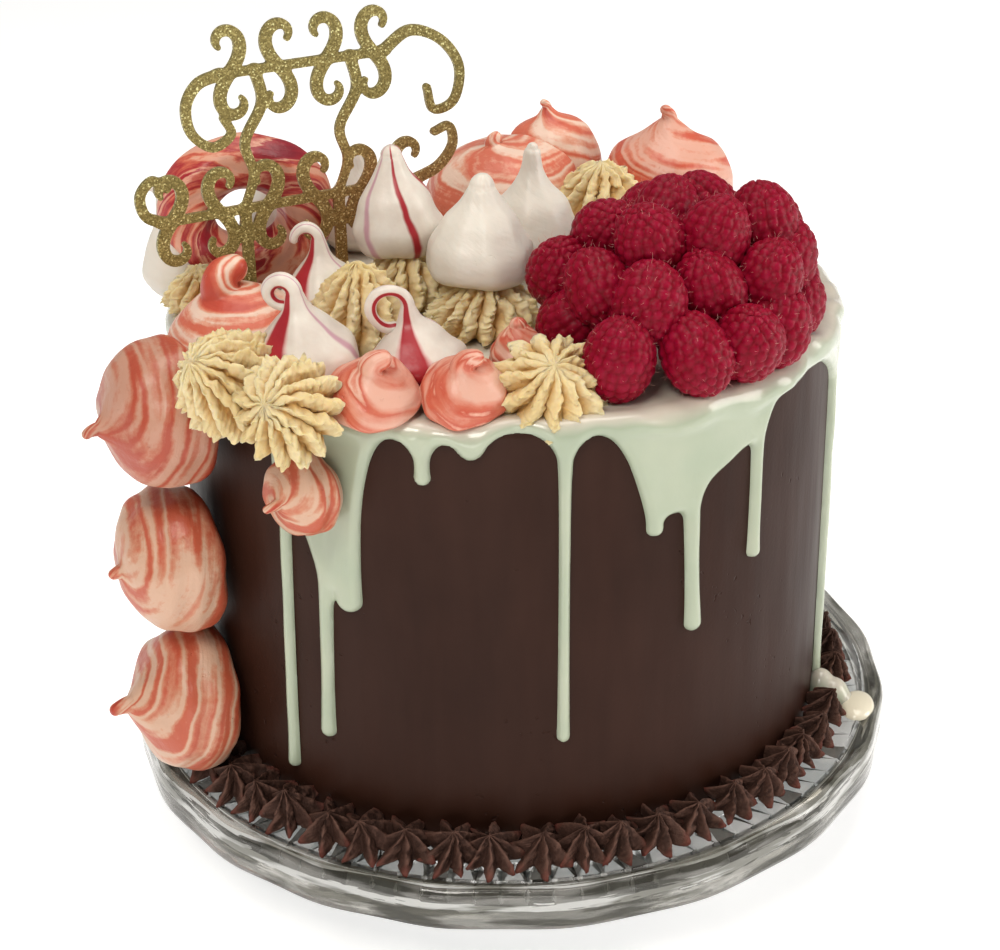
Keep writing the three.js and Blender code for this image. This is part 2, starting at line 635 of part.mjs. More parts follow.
function rosetteGeometry({ width, length, petals }) {
  const levels = [[0, 0.84], [0.32, 1], [0.8, 0.58]];
  const rings = levels.map(([height, share], i) =>
    Array.from({ length: 2 * petals }, (_, k) => {
      const ridge = k % 2 ? 1 - PETAL_DEPTH : 1 + 0.04 * Math.sin(7 * k);
      const radius = 0.5 * width * share * ridge;
      const angle = (Math.PI * k) / petals + 0.1 * i;
      return new THREE.Vector3(radius * Math.cos(angle), radius * Math.sin(angle), height * length);
    }),
  );
  return loft(new THREE.Vector3(0, 0, 0), rings, new THREE.Vector3(0, 0, length));
}

// ---- Raspberries: a blunt cone of drupelets, laid in bricks ----

function raspberryGeometry() {
  const rows = 4;
  const rings = Array.from({ length: rows }, (_, row) => {
    const angle = (Math.PI * (row + 0.55)) / rows;
    const radius = 0.5 * RASPBERRY_WIDTH * Math.sin(angle) ** 0.8 * (1 + 0.08 * Math.cos(angle));
    return Array.from({ length: RASPBERRY_SIDES }, (_, k) => {
      const bump = (k + row) % 2 ? 0.95 : 1.03;
      const around = (2 * Math.PI * k) / RASPBERRY_SIDES;
      const z = -0.5 * RASPBERRY_LENGTH * Math.cos(angle);
      return new THREE.Vector3(radius * bump * Math.cos(around), radius * bump * Math.sin(around), z);
    });
  });
  const end = 0.5 * RASPBERRY_LENGTH;
  return loft(new THREE.Vector3(0, 0, -0.9 * end), rings, new THREE.Vector3(0, 0, end));
}

// ---- Assembly: each piece is cut back from those that were set before it ----

const COLOURS = {
  glass: { color: 0xdfe6e8, roughness: 0.05, metalness: 0, transparent: true, opacity: 0.45 },
  chocolate: { color: 0x3f2a24, roughness: 0.55, metalness: 0 },
  border: { color: 0x3a241d, roughness: 0.7, metalness: 0 },
  icing: { color: 0xe9efe2, roughness: 0.25, metalness: 0 },
  glitter: { color: 0x9c8440, roughness: 0.4, metalness: 0.6 },
  buttercream: { color: 0xeedfae, roughness: 0.6, metalness: 0 },
  raspberry: { color: 0x9a1c3a, roughness: 0.45, metalness: 0 },
  coral: { color: 0xe99a7e, roughness: 0.6, metalness: 0 },
  red: { color: 0xeccfcb, roughness: 0.6, metalness: 0 },
  white: { color: 0xf1ecec, roughness: 0.6, metalness: 0 },
};

const setPieces = [];

function touches(a, b) {
  return a.min.every((low, i) => low < b.max[i] && b.min[i] < a.max[i]);
}

// Adds a piece to a group. Its cutter is what later pieces are kept out of.
function set(group, name, colour, solid, origin = [0, 0, 0], cutter = null) {
  const box = solid.boundingBox();
  const neighbours = setPieces.filter((piece) => touches(box, piece.box));
  let body = neighbours.reduce((rest, piece) => rest.subtract(piece.cutter), solid).simplify(SLIVER);
  // Merged facets can reach back into a neighbour, and are then cut away again.
  for (const piece of neighbours) {
    if (body.intersect(piece.body).volume() > 0) body = body.subtract(piece.cutter);
  }
  body = largestBody(body);
  const own = cutter ?? swelled(body);
  setPieces.push({ body, cutter: own, box: own.boundingBox() });
  const geometry = geometryOf(body);
  geometry.translate(...origin.map((place) => -place));
  const mesh = new THREE.Mesh(geometry, new THREE.MeshStandardMaterial(COLOURS[colour]));
  mesh.name = name;
  mesh.position.set(...origin);
  group.add(mesh);
}

// A geometry that is made upright, leaned over towards an azimuth and moved to its place.
function placed(geometry, at, azimuth, angle) {
  const hinge = new THREE.Vector3(-Math.sin(rad(azimuth)), Math.cos(rad(azimuth)), 0);
  geometry.applyMatrix4(new THREE.Matrix4().makeRotationAxis(hinge, rad(angle)));
  geometry.translate(...at);
  return solidOf(geometry);
}

const dripCake = new THREE.Group();
const base = new THREE.Group();
const toppings = new THREE.Group();
dripCake.add(base, toppings);

const standBody = standSolid();
set(base, "glass_cake_stand", "glass", standBody, [0, 0, 0], standBody);
set(base, "chocolate_cake", "chocolate", cakeSolid(0), [0, 0, 0], cakeSolid(GAP));
set(base, "drip_icing", "icing", icingSolid(0), [0, 0, 0], icingSolid(2 * GAP));
set(toppings, "glitter_topper", "glitter", topperSolid(0), [0, 0, 0], topperSolid(GAP));

RASPBERRY_LAYERS.flat().forEach((at, i) => {
  const name = "raspberry_" + String(i + 1).padStart(2, "0");
  const { turn, least, step, spread } = RASPBERRY_LEAN;
  const lean = least + ((step * i) % spread);
  set(toppings, name, "raspberry", placed(raspberryGeometry(), at, turn * i, lean), at);
});
for (const kiss of MERINGUES) {
  const body = placed(meringueGeometry(kiss), kiss.at, kiss.lean.azimuth, kiss.lean.angle);
  set(toppings, kiss.name, kiss.colour, body, kiss.at);
}
const hoop = ringGeometry(RING);
hoop.rotateX(rad(-RING.lean));
hoop.rotateZ(rad(RING.yaw));
hoop.translate(...RING.at);
set(toppings, "meringue_ring", "coral", solidOf(hoop), RING.at);
for (const rosette of ROSETTES) {
  const [azimuth, angle] = rosette.lean;
  const body = placed(rosetteGeometry(rosette), rosette.at, azimuth, angle);
  set(toppings, rosette.name, "buttercream", body, rosette.at);
}
set(base, "chocolate_border", "border", borderSolid());

export default dripCake;
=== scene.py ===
from math import cos, pi, radians, sin, sqrt

import bpy
import numpy as np
from mathutils import Matrix, Vector


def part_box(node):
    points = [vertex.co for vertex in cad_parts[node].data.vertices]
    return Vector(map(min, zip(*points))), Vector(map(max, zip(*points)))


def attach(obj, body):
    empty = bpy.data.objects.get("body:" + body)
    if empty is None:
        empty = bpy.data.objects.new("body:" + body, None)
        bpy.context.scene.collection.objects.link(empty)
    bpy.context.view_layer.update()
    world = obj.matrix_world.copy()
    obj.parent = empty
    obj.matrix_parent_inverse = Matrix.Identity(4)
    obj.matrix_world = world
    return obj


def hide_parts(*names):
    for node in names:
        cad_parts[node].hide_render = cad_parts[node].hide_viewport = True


# A drip cake on a pressed-glass stand. Sizes are in millimetres and turned into metres where a mesh is
# made. The cake's axis is Z and its front faces -Y. An azimuth runs from +X towards +Y, in degrees.
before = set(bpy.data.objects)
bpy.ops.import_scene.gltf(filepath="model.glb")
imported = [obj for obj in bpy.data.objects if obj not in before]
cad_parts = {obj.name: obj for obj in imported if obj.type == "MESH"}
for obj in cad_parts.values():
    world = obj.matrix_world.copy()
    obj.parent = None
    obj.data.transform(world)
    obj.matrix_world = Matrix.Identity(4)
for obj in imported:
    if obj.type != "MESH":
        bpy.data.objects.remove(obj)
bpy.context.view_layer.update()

MM = 0.001
TAU = 2 * pi

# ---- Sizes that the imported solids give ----


def node_box(name):
    low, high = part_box(name)
    return np.array(low) / MM, np.array(high) / MM


CAKE_LOW, CAKE_HIGH = node_box("chocolate_cake")
CAKE_RADIUS = (CAKE_HIGH[0] - CAKE_LOW[0]) / 2
CAKE_BOTTOM = CAKE_LOW[2]
CAKE_TOP = CAKE_HIGH[2]
ICING_TOP = node_box("drip_icing")[1][2]
RIM_TOP = node_box("glass_cake_stand")[1][2]
GAP = 0.3
PLATE_TOP = CAKE_BOTTOM - GAP
PLATE_RADIUS = 125.2

# ---- Small mathematics ----


def around(distance, azimuth, z=0.0):
    """A point at a distance from the axis, an azimuth in degrees and a height."""
    return np.array([distance * cos(radians(azimuth)), distance * sin(radians(azimuth)), z])


def circle(radius, angle, z):
    """Points at some radii, angles in radians and heights."""
    return np.stack([radius * np.cos(angle), radius * np.sin(angle), np.broadcast_to(z, np.shape(angle))], -1)


def turn(a, b):
    """The way from one azimuth to another, between -180 and 180 degrees."""
    return (a - b + 540) % 360 - 180


def lerp(a, b, share):
    return a + (b - a) * share


# A field's value where no shape is near.
OUTSIDE = -50.0


def hump(away, spread):
    return np.exp(-((away / spread) ** 2))


def soft_max(a, b, blend):
    share = np.clip(0.5 + 0.5 * (a - b) / blend, 0, 1)
    return lerp(b, a, share) + blend * share * (1 - share)


def rounded(depth, edge):
    """How a layer swells from 0 at its rim to 1, over the width of its rounded edge."""
    return np.sqrt(1 - (1 - np.clip(depth / edge, 0, 1)) ** 2)


def smooth_through(knots, at):
    """A smooth line through knots of [place, value], read at the given places."""
    places, values = np.array(knots, float).T
    slopes = np.gradient(values, places)
    at = np.clip(at, places[0], places[-1])
    i = np.clip(np.searchsorted(places, at, side="right") - 1, 0, len(places) - 2)
    span = places[i + 1] - places[i]
    t = (at - places[i]) / span
    rise = values[i + 1] - values[i]
    start, end = slopes[i] * span, slopes[i + 1] * span
    return values[i] + t * start + t * t * (3 * rise - 2 * start - end) + t**3 * (start + end - 2 * rise)


def wobble(points, scale, seed, waves=9):
    """A smooth uneven field between about -1 and 1, whose bumps are about one scale across."""
    draw = np.random.default_rng(seed)
    total = np.zeros(points.shape[:-1])
    for _ in range(waves):
        direction = draw.normal(size=3)
        direction *= TAU / scale / np.linalg.norm(direction) * draw.uniform(0.5, 1.3)
        total += np.sin(points @ direction + draw.uniform(0, TAU))
    return total / sqrt(waves)


# ---- Mesh makers ----


def add_object(name, data):
    made = bpy.data.objects.new(name, data)
    bpy.context.scene.collection.objects.link(made)
    return made


def piece(name, points, faces, material, slot, nodes=(), uv=None, tones=None, smooth=True, kinds=None):
    """A mesh in the shared frame that rides on the cake and stands for the named nodes.

    Where there are several materials, kinds says which one each face has, and smooth which are smooth."""
    mesh = bpy.data.meshes.new(name)
    mesh.from_pydata((np.asarray(points) * MM).tolist(), [], faces)
    mesh.polygons.foreach_set("use_smooth", np.broadcast_to(smooth, len(mesh.polygons)))
    for made in material if isinstance(material, list) else [material]:
        mesh.materials.append(made)
    if kinds is not None:
        mesh.polygons.foreach_set("material_index", kinds)
    if uv is not None:
        layer = mesh.uv_layers.new(name="around")
        layer.data.foreach_set("uv", np.asarray(uv, np.float32).ravel())
    if tones is not None:
        attribute = mesh.attributes.new("tone", "FLOAT", "POINT")
        attribute.data.foreach_set("value", np.asarray(tones, np.float32))
    mesh.validate()
    shape = add_object(name, mesh)
    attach(shape, "root")
    if nodes:
        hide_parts(*nodes)


def ring_faces(rings, sides, closed=False):
    """The quads between rings of points, and where each corner lies round and along the stack."""
    faces, uv = [], []
    for i in range(rings if closed else rings - 1):
        j = (i + 1) % rings
        low, high = i / rings, (i + 1) / rings
        for k in range(sides):
            m = (k + 1) % sides
            faces.append((i * sides + k, i * sides + m, j * sides + m, j * sides + k))
            left, right = k / sides, (k + 1) / sides
            uv += [(left, low), (right, low), (right, high), (left, high)]
    return faces, uv


def skinned(rings, start=None, end=None):
    """Points, faces and uv of a closed stack of rings, whose ends are filled round two points."""
    rings = np.asarray(rings)
    count, sides = rings.shape[:2]
    faces, uv = ring_faces(count, sides)
    points = [rings.reshape(-1, 3)]
    for tip, row, flip in ((start, 0, True), (end, count - 1, False)):
        if tip is None:
            continue
        at = count * sides + len(points) - 1
        points.append(np.asarray(tip, float)[None])
        for k in range(sides):
            a, b = row * sides + k, row * sides + (k + 1) % sides
            faces.append((at, b, a) if flip else (at, a, b))
            side = (k + 0.5) / sides
            v = 0.0 if flip else 1.0
            corners = [(side, v), ((k + 1) / sides, v), (k / sides, v)]
            uv += corners if flip else [corners[0], corners[2], corners[1]]
    return np.concatenate(points), faces, uv


def joined(parts):
    """Several (points, faces) as one."""
    points, faces, start = [], [], 0
    for part_points, part_faces in parts:
        points.append(part_points)
        faces += [tuple(i + start for i in face) for face in part_faces]
        start += len(part_points)
    return np.concatenate(points), faces


def blades_round(count, sides, phase=0.0):
    """Round a piped form: the angles, the blade that each is on, and how near it is to its crest."""
    angle = TAU * np.arange(sides) / sides
    place = angle * count / TAU + phase
    return angle, np.floor(place).astype(int) % count, 1 - np.abs((place % 1) * 2 - 1)


def cut_sheet(us, vs, distance):
    """The cells of a grid where a field is positive, its edge points moved onto the field's zero line.

    Gives the points' u and v, their distance to the edge, and the quads."""
    u, v = np.meshgrid(us, vs, indexing="ij")
    field = distance(u, v)
    inside = field > 0
    kept = inside[:-1, :-1] | inside[1:, :-1] | inside[1:, 1:] | inside[:-1, 1:]
    reach = 0.05
    for _ in range(2):
        slope_u = (distance(u + reach, v) - distance(u - reach, v)) / (2 * reach)
        slope_v = (distance(u, v + reach) - distance(u, v - reach)) / (2 * reach)
        step = np.where(inside, 0, distance(u, v)) / (slope_u**2 + slope_v**2 + 1e-6)
        u = u - step * slope_u
        v = v - step * slope_v
    index = np.arange(field.size).reshape(field.shape)
    quads = np.stack([index[:-1, :-1], index[1:, :-1], index[1:, 1:], index[:-1, 1:]], -1)[kept]
    used, quads = np.unique(quads, return_inverse=True)
    depth = np.where(inside, field, 0).ravel()[used]
    return u.ravel()[used], v.ravel()[used], depth, quads.reshape(-1, 4)


def rotation(angle, axis):
    return np.array(Matrix.Rotation(angle, 3, axis)).T


def leaned(points, at, azimuth, angle):
    """Points of an upright form, leaned over towards an azimuth and moved to their place."""
    hinge = Vector((-sin(radians(azimuth)), cos(radians(azimuth)), 0))
    return points @ rotation(radians(angle), hinge) + np.asarray(at, float)


# ---- Materials ----


class Nodes:
    """A material's node tree, with short ways to add and link nodes."""

    def __init__(self, name):
        self.material = bpy.data.materials.new(name)
        self.material.use_nodes = True
        self.tree = self.material.node_tree
        self.shader = self.tree.nodes["Principled BSDF"]

    def add(self, kind, settings=None, **inputs):
        node = self.tree.nodes.new("ShaderNode" + kind)
        for key, value in (settings or {}).items():
            setattr(node, key, value)
        for key, value in inputs.items():
            self.plug(node, key.replace("_", " "), value)
        return node

    def plug(self, node, key, value):
        """Links or sets an input, given by its name or its number."""
        if isinstance(value, bpy.types.NodeSocket):
            self.tree.links.new(value, node.inputs[key])
        else:
            node.inputs[key].default_value = value

    def set(self, **inputs):
        for key, value in inputs.items():
            self.plug(self.shader, key.replace("_", " "), value)

    def soften(self, weight, radius, scale):
        """How much light passes under the surface, and how far."""
        self.set(Subsurface_Weight=weight, Subsurface_Radius=radius, Subsurface_Scale=scale)

    def place(self):
        return self.add("TexCoord").outputs["Object"]

    def scaled_upwards(self, scale):
        return self.add("Mapping", Vector=self.place(), Scale=(1.0, 1.0, scale)).outputs["Vector"]

    def parts(self, vector):
        return self.add("SeparateXYZ", Vector=vector).outputs

    def turns(self):
        """Where a point lies round its piece and along it, as the mesh's uv says."""
        return self.parts(self.add("UVMap", {"uv_map": "around"}).outputs["UV"])

    def tone(self):
        return self.add("Attribute", {"attribute_name": "tone"}).outputs["Fac"]

    def noise(self, scale, detail=3.0, vector=None, roughness=0.5):
        made = self.add("TexNoise", Scale=scale, Detail=detail, Roughness=roughness)
        self.plug(made, "Vector", vector or self.place())
        return made.outputs["Fac"]

    def math(self, operation, a, b=0.0, clamp=False):
        node = self.add("Math", {"operation": operation, "use_clamp": clamp})
        self.plug(node, 0, a)
        self.plug(node, 1, b)
        return node.outputs[0]

    def plus(self, a, b, clamp=False):
        return self.math("ADD", a, b, clamp)

    def times(self, a, b):
        return self.math("MULTIPLY", a, b)

    def drift(self, noise, size):
        """A noise moved to lie evenly about 0."""
        return self.times(self.math("SUBTRACT", noise, 0.5), size)

    def ramp(self, value, stops):
        node = self.add("ValToRGB", Fac=value)
        elements = node.color_ramp.elements
        while len(elements) < len(stops):
            elements.new(0.5)
        for element, (at, colour) in zip(elements, stops):
            element.position = at
            element.color = (*colour, 1)
        return node.outputs["Color"]

    def rise(self, value, start, end, low=0, high=1):
        """A grey that goes from low to high between two levels of a value."""
        return self.ramp(value, [(start, (low,) * 3), (end, (high,) * 3)])

    def mix(self, share, a, b, blend="MIX"):
        node = self.add("Mix", {"data_type": "RGBA", "blend_type": blend})
        for key, value in ((0, share), (6, a), (7, b)):
            self.plug(node, key, (*value, 1) if isinstance(value, tuple) else value)
        return node.outputs[2]

    def bump(self, height, distance):
        made = self.add("Bump", Height=height, Distance=distance)
        self.plug(self.shader, "Normal", made.outputs["Normal"])


def chocolate_frosting():
    n = Nodes("chocolate_frosting")
    upright = n.scaled_upwards(0.16)
    cloud = n.plus(n.times(n.noise(26, 4), 0.6), n.times(n.noise(160, 3, upright), 0.4))
    n.set(Base_Color=n.ramp(cloud, [(0.32, (0.025, 0.0085, 0.0046)), (0.68, (0.037, 0.0138, 0.0084))]))
    n.set(Roughness=n.rise(n.noise(90, 3, upright), 0.3, 0.7, 0.42, 0.52), Specular_IOR_Level=0.13)
    pits = n.rise(n.noise(420, 1), 0.2, 0.3)
    where = n.rise(n.noise(22, 2), 0.5, 0.62)
    open_pits = n.plus(pits, n.math("SUBTRACT", 1.0, where), clamp=True)
    fine = n.times(n.noise(900, 3), 0.12)
    n.bump(n.plus(open_pits, n.plus(fine, n.times(n.noise(120, 3, upright), 0.5))), 0.00035)
    return n.material


def piped_chocolate():
    """Painted shade in the hollows and a painted highlight on the sharp edges, which the mesh's pointiness
    picks out, and reddish at the tips, where the mesh's tone is high.
    """
    n = Nodes("piped_chocolate")
    shade = n.ramp(n.noise(170, 4), [
        (0.3, (0.030, 0.0135, 0.009)), (0.55, (0.052, 0.024, 0.017)), (0.75, (0.072, 0.034, 0.025))])
    # Sharp edges get the paler colour as a painted highlight; the hollows keep the darker colour as painted
    # shade.
    edge = n.rise(n.add("NewGeometry").outputs["Pointiness"], 0.5, 0.58)
    edge_highlighted = n.mix(edge, shade, (0.14, 0.071, 0.052))
    n.set(Base_Color=n.mix(n.rise(n.tone(), 0.3, 0.85), edge_highlighted, (0.17, 0.035, 0.026)))
    n.set(Roughness=0.62, Specular_IOR_Level=0.16)
    n.bump(n.noise(1300, 4), 0.0005)
    return n.material


def poured_icing():
    """Painted shade down the side, where it is darker and greenish, and painted light on top, where it is
    paler and creamier.
    """
    n = Nodes("poured_icing")
    side = n.ramp(n.noise(35, 3), [(0.35, (0.39, 0.45, 0.33)), (0.7, (0.46, 0.50, 0.375))])
    top = n.ramp(n.noise(45, 3), [(0.35, (0.60, 0.55, 0.46)), (0.7, (0.66, 0.62, 0.53))])
    # Faces that point up get the paler colour as painted light; the side gets the darker one as painted
    # shade.
    upwards = n.parts(n.add("NewGeometry").outputs["Normal"])["Z"]
    n.set(Base_Color=n.mix(n.rise(upwards, 0.25, 0.85), side, top))
    n.set(Roughness=0.2, Specular_IOR_Level=0.5, Coat_Weight=0.3, Coat_Roughness=0.08)
    n.soften(0.2, (1.0, 1.0, 0.7), 0.002)
    n.bump(n.noise(160, 3), 0.0002)
    return n.material


def ivory_icing():
    n = Nodes("ivory_icing")
    n.set(Base_Color=n.ramp(n.noise(60, 2), [(0.3, (0.82, 0.75, 0.58)), (0.7, (0.86, 0.81, 0.66))]))
    n.set(Roughness=0.15, Specular_IOR_Level=0.5, Coat_Weight=0.4, Coat_Roughness=0.05)
    return n.material


def buttercream():
    """Painted light on the ridges and painted shade down in the grooves, where it turns a darker yellow, as
    the mesh's tone says.
    """
    n = Nodes("buttercream")
    ridge = n.ramp(n.noise(60, 3), [(0.35, (0.72, 0.56, 0.29)), (0.65, (0.79, 0.67, 0.41))])
    # The darker groove colour is painted shade and the paler ridge colour painted light.
    n.set(Base_Color=n.mix(n.rise(n.tone(), 0.08, 0.7), (0.56, 0.32, 0.10), ridge))
    n.set(Roughness=0.5, Specular_IOR_Level=0.18)
    n.soften(0.4, (1.0, 0.75, 0.35), 0.003)
    n.bump(n.noise(600, 4, roughness=0.55), 0.0004)
    return n.material


def streaked_meringue(name, stops, spread, drift, relief=0.0004, fineness=0.22):
    """Baked meringue with streaks of food colour. The streaks follow the turns that the mesh gives in its
    uv, and the stops give the colour at each level of the streaks."""
    n = Nodes(name)
    place = n.turns()
    angle = n.times(n.plus(place["X"], n.drift(n.noise(28, 3), drift)), TAU)
    east = n.times(n.math("COSINE", angle), spread)
    north = n.times(n.math("SINE", angle), spread)
    along = n.add("CombineXYZ", X=east, Y=north, Z=place["Y"]).outputs["Vector"]
    fine = n.noise(5.0, 3.0, along, 0.5)
    level = n.plus(n.noise(1.0, 2.0, along, 0.45), n.drift(fine, fineness))
    level = n.plus(level, n.drift(n.noise(420, 4, roughness=0.65), 0.07))
    n.set(Base_Color=n.ramp(level, stops), Roughness=0.38, Specular_IOR_Level=0.45)
    n.soften(0.3, (1.0, 0.7, 0.6), 0.003)
    pores = n.rise(n.noise(560, 2), 0.2, 0.3, 0.55)
    n.bump(n.plus(n.times(fine, 0.7), n.plus(n.noise(240, 4), pores)), relief)
    return n.material


def red_stripes(stops):
    """A white kiss with a few red stripes that run up it, given round it as the stops."""
    n = Nodes("red_striped_meringue")
    at = n.math("FRACT", n.plus(n.turns()["X"], n.drift(n.noise(55, 3), 0.07)))
    faint = n.ramp(n.noise(170, 4), [(0.3, (1, 1, 1)), (0.62, (0.72, 0.60, 0.58))])
    n.set(Base_Color=n.mix(0.35, n.ramp(at, stops), faint, "MULTIPLY"))
    n.set(Roughness=0.35, Specular_IOR_Level=0.45)
    n.soften(0.15, (1.0, 0.6, 0.5), 0.002)
    n.bump(n.noise(160, 4), 0.0003)
    return n.material


def raspberry_skin():
    """Painted shade in the clefts and a painted highlight on the drupelets, as the mesh's tone says."""
    n = Nodes("raspberry_skin")
    colour = n.ramp(n.tone(), [
        (0.0, (0.13, 0.0, 0.005)), (0.3, (0.18, 0.001, 0.011)), (0.65, (0.26, 0.003, 0.024)),
        (1.0, (0.37, 0.011, 0.049))])
    n.set(Base_Color=n.mix(n.times(n.noise(160, 3), 0.5), colour, (0.22, 0.004, 0.014)))
    n.set(Roughness=0.36, Specular_IOR_Level=0.11)
    n.set(Sheen_Weight=0.02, Sheen_Roughness=0.3, Sheen_Tint=(1.0, 0.4, 0.5, 1))
    n.soften(0.2, (1.0, 0.08, 0.1), 0.002)
    n.bump(n.noise(900, 4), 0.0002)
    return n.material


def raspberry_hair():
    n = Nodes("raspberry_hair")
    n.set(Base_Color=n.mix(n.noise(300, 2), (0.55, 0.16, 0.15), (0.80, 0.52, 0.42)), Roughness=0.6)
    return n.material


def glitter_card():
    """Olive gold glitter that turns to bronze low down on the right, with a few cells painted near white as
    glints.
    """
    n = Nodes("glitter_card")
    cells = n.add("TexVoronoi", {"feature": "F1"}, Vector=n.place(), Scale=2300.0)
    grain = n.parts(cells.outputs["Color"])
    # The top of each ramp paints a few cells near white: painted glints.
    olive = n.ramp(grain["X"], [
        (0.0, (0.17, 0.135, 0.035)), (0.6, (0.30, 0.24, 0.075)), (0.9, (0.46, 0.39, 0.14)),
        (1.0, (0.95, 0.92, 0.45))])
    bronze = n.ramp(grain["X"], [
        (0.0, (0.22, 0.10, 0.03)), (0.6, (0.36, 0.18, 0.06)), (0.9, (0.5, 0.28, 0.1)),
        (1.0, (0.95, 0.75, 0.4))])
    place = n.parts(n.place())
    low = n.math("SUBTRACT", 7.3, n.times(place["Z"], 31.0), clamp=True)
    right = n.plus(1.9, n.times(place["X"], 25.0), clamp=True)
    n.set(Base_Color=n.mix(n.times(low, right), olive, bronze), Metallic=0.35, Roughness=0.42)
    n.bump(grain["Y"], 0.00025)
    return n.material


def pressed_glass(name, painted_colour, painted_streak, clarity=1.0):
    """Glass that is clear, or partly diffuse with a painted colour that stands in for what it refracts and
    reflects. Its colour drifts in long streaks that run round the plate, as painted reflections.
    """
    n = Nodes(name)
    stretched = n.scaled_upwards(7.0)
    n.set(Base_Color=n.ramp(n.noise(42, 2, stretched), [(0.44, painted_streak), (0.55, painted_colour)]))
    n.set(Roughness=0.02, IOR=1.5, Transmission_Weight=clarity)
    n.bump(n.noise(60, 2, stretched), 0.0004)
    return n.material


def pale_floor():
    """A plain sheet that glows a little, so that it stays pale beside the cake."""
    n = Nodes("pale_floor")
    n.set(Base_Color=n.mix(n.noise(3, 2), (0.80, 0.80, 0.80), (0.82, 0.82, 0.82)), Roughness=0.8)
    n.set(Specular_IOR_Level=0.05, Emission_Color=(1, 1, 1, 1), Emission_Strength=FLOOR_GLOW)
    return n.material


# ---- Stand ----

FOOT_RADIUS = 52
FOOT_WAIST = 40
UNDERSIDE = 27
WELL_RADIUS = 117.6
SCALLOPS = 20
SCALLOP_DEPTH = 0.9
# The pressed facets reach from one radius and level out to the well's edge.
PRESSED_FACETS = 96
FACET_INNER = 104.0
FACET_LEVEL = 27.5
FACET_RELIEF = 2.5
FACET_OUTER_LEVEL = 29.0
# The kinds of glass that a face may have, in the order of their materials: painted pale, painted shade,
# painted grey, the rim with painted reflection streaks, and clear.
PAINTED_PALE, SHADED, GREY, RIM, CLEAR = range(5)


def pressed_facets():
    """Triangles round the plate that lie at turns nearer and further down: points, faces and their glass."""
    inner = PRESSED_FACETS * 2
    step = np.arange(inner)
    at = TAU * step / inner
    points = np.concatenate([
        circle(FACET_INNER, at, FACET_LEVEL - FACET_RELIEF * (step % 2)),
        circle(WELL_RADIUS, at[1::2], FACET_OUTER_LEVEL),
    ])
    faces, kinds = [], []
    for k in range(PRESSED_FACETS):
        a, m, b = 2 * k, 2 * k + 1, (2 * k + 2) % inner
        tip, beside = inner + k, inner + (k + 1) % PRESSED_FACETS
        faces += [(a, m, tip), (m, b, tip), (tip, b, beside)]
        # Each facet's faces get painted shade, painted grey or painted pale glass in turn.
        kinds += [GREY if k % 2 else SHADED, PAINTED_PALE, PAINTED_PALE if k % 4 else SHADED]
    return points, faces, kinds


def make_stand():
    """A plate with a raised rim on a flared foot, with pressed facets round its underside."""
    sides = 240
    edge, top = PLATE_RADIUS, PLATE_TOP
    angle = TAU * np.arange(sides) / sides

    def ring(radius, z):
        lobes = 0.5 + 0.5 * np.cos(SCALLOPS * angle + 0.6 * np.sin(3 * angle))
        depth = np.clip((radius - WELL_RADIUS - 2) / 4, 0, 1) * SCALLOP_DEPTH
        return circle(radius - depth * lobes, angle, z)

    foot = [(FOOT_RADIUS - 2, 0), (FOOT_RADIUS, 1.2), (FOOT_RADIUS - 0.6, 2.6), (FOOT_RADIUS - 5, 5.5),
            (FOOT_WAIST + 3, 11), (FOOT_WAIST, 16), (FOOT_WAIST + 1.5, 20), (FOOT_WAIST + 8, 24), (60, 26.4),
            (80, UNDERSIDE), (FACET_INNER, FACET_LEVEL)]
    outside = [(WELL_RADIUS, UNDERSIDE), (edge - 5, 25), (edge - 2.2, 23.0), (edge - 1.1, 22.8),
               (edge - 0.2, 23.6), (edge, 25), (edge - 0.1, 27.5), (edge + 0.1, 30), (edge, 32.5),
               (edge - 0.3, RIM_TOP - 1.6), (edge - 1.0, RIM_TOP - 0.5), (edge - 2.0, RIM_TOP),
               (edge - 3.4, RIM_TOP - 0.1), (edge - 4.6, RIM_TOP - 0.7), (edge - 5.6, top - 0.4)]
    well = [(WELL_RADIUS + 1.2, top - 0.2), (WELL_RADIUS + 0.7, top + 0.3), (WELL_RADIUS + 0.1, top + 0.3),
            (WELL_RADIUS - 0.5, top), (110, top), (95, top), (60, top)]
    low_points, low_faces, _ = skinned([ring(*at) for at in foot], (0, 0, 0))
    high_points, high_faces, _ = skinned([ring(*at) for at in outside + well], None, (0, 0, top))
    facet_points, facet_faces, facet_kinds = pressed_facets()
    points, faces = joined([(low_points, low_faces), (high_points, high_faces), (facet_points, facet_faces)])
    smooth = [True] * (len(low_faces) + len(high_faces)) + [False] * len(facet_faces)
    band = len(outside) * sides
    kinds = [PAINTED_PALE] * len(low_faces) + [RIM] * band + [CLEAR] * (len(high_faces) - band) + facet_kinds
    # Pale, dark and grey glass paint the light and shade that the facets refract; the rim's dark streaks are
    # painted reflections.
    glasses = [
        pressed_glass("painted_pale_glass", (0.80, 0.79, 0.77), (0.58, 0.61, 0.60), 0.4),
        pressed_glass("shaded_glass", (0.13, 0.12, 0.10), (0.08, 0.075, 0.065), 0.3),
        pressed_glass("grey_glass", (0.48, 0.52, 0.50), (0.36, 0.39, 0.38), 0.4),
        pressed_glass("rim_glass", (0.57, 0.56, 0.52), (0.12, 0.115, 0.09), 0.76),
        pressed_glass("clear_glass", (0.96, 0.96, 0.95), (0.90, 0.91, 0.90)),
    ]
    piece("glass_stand", points, faces, glasses, "glass", ["glass_cake_stand"], smooth=smooth, kinds=kinds)


# ---- Cake ----

CAKE_ROUNDING = 2.4
FROSTING_SINK = 0.12


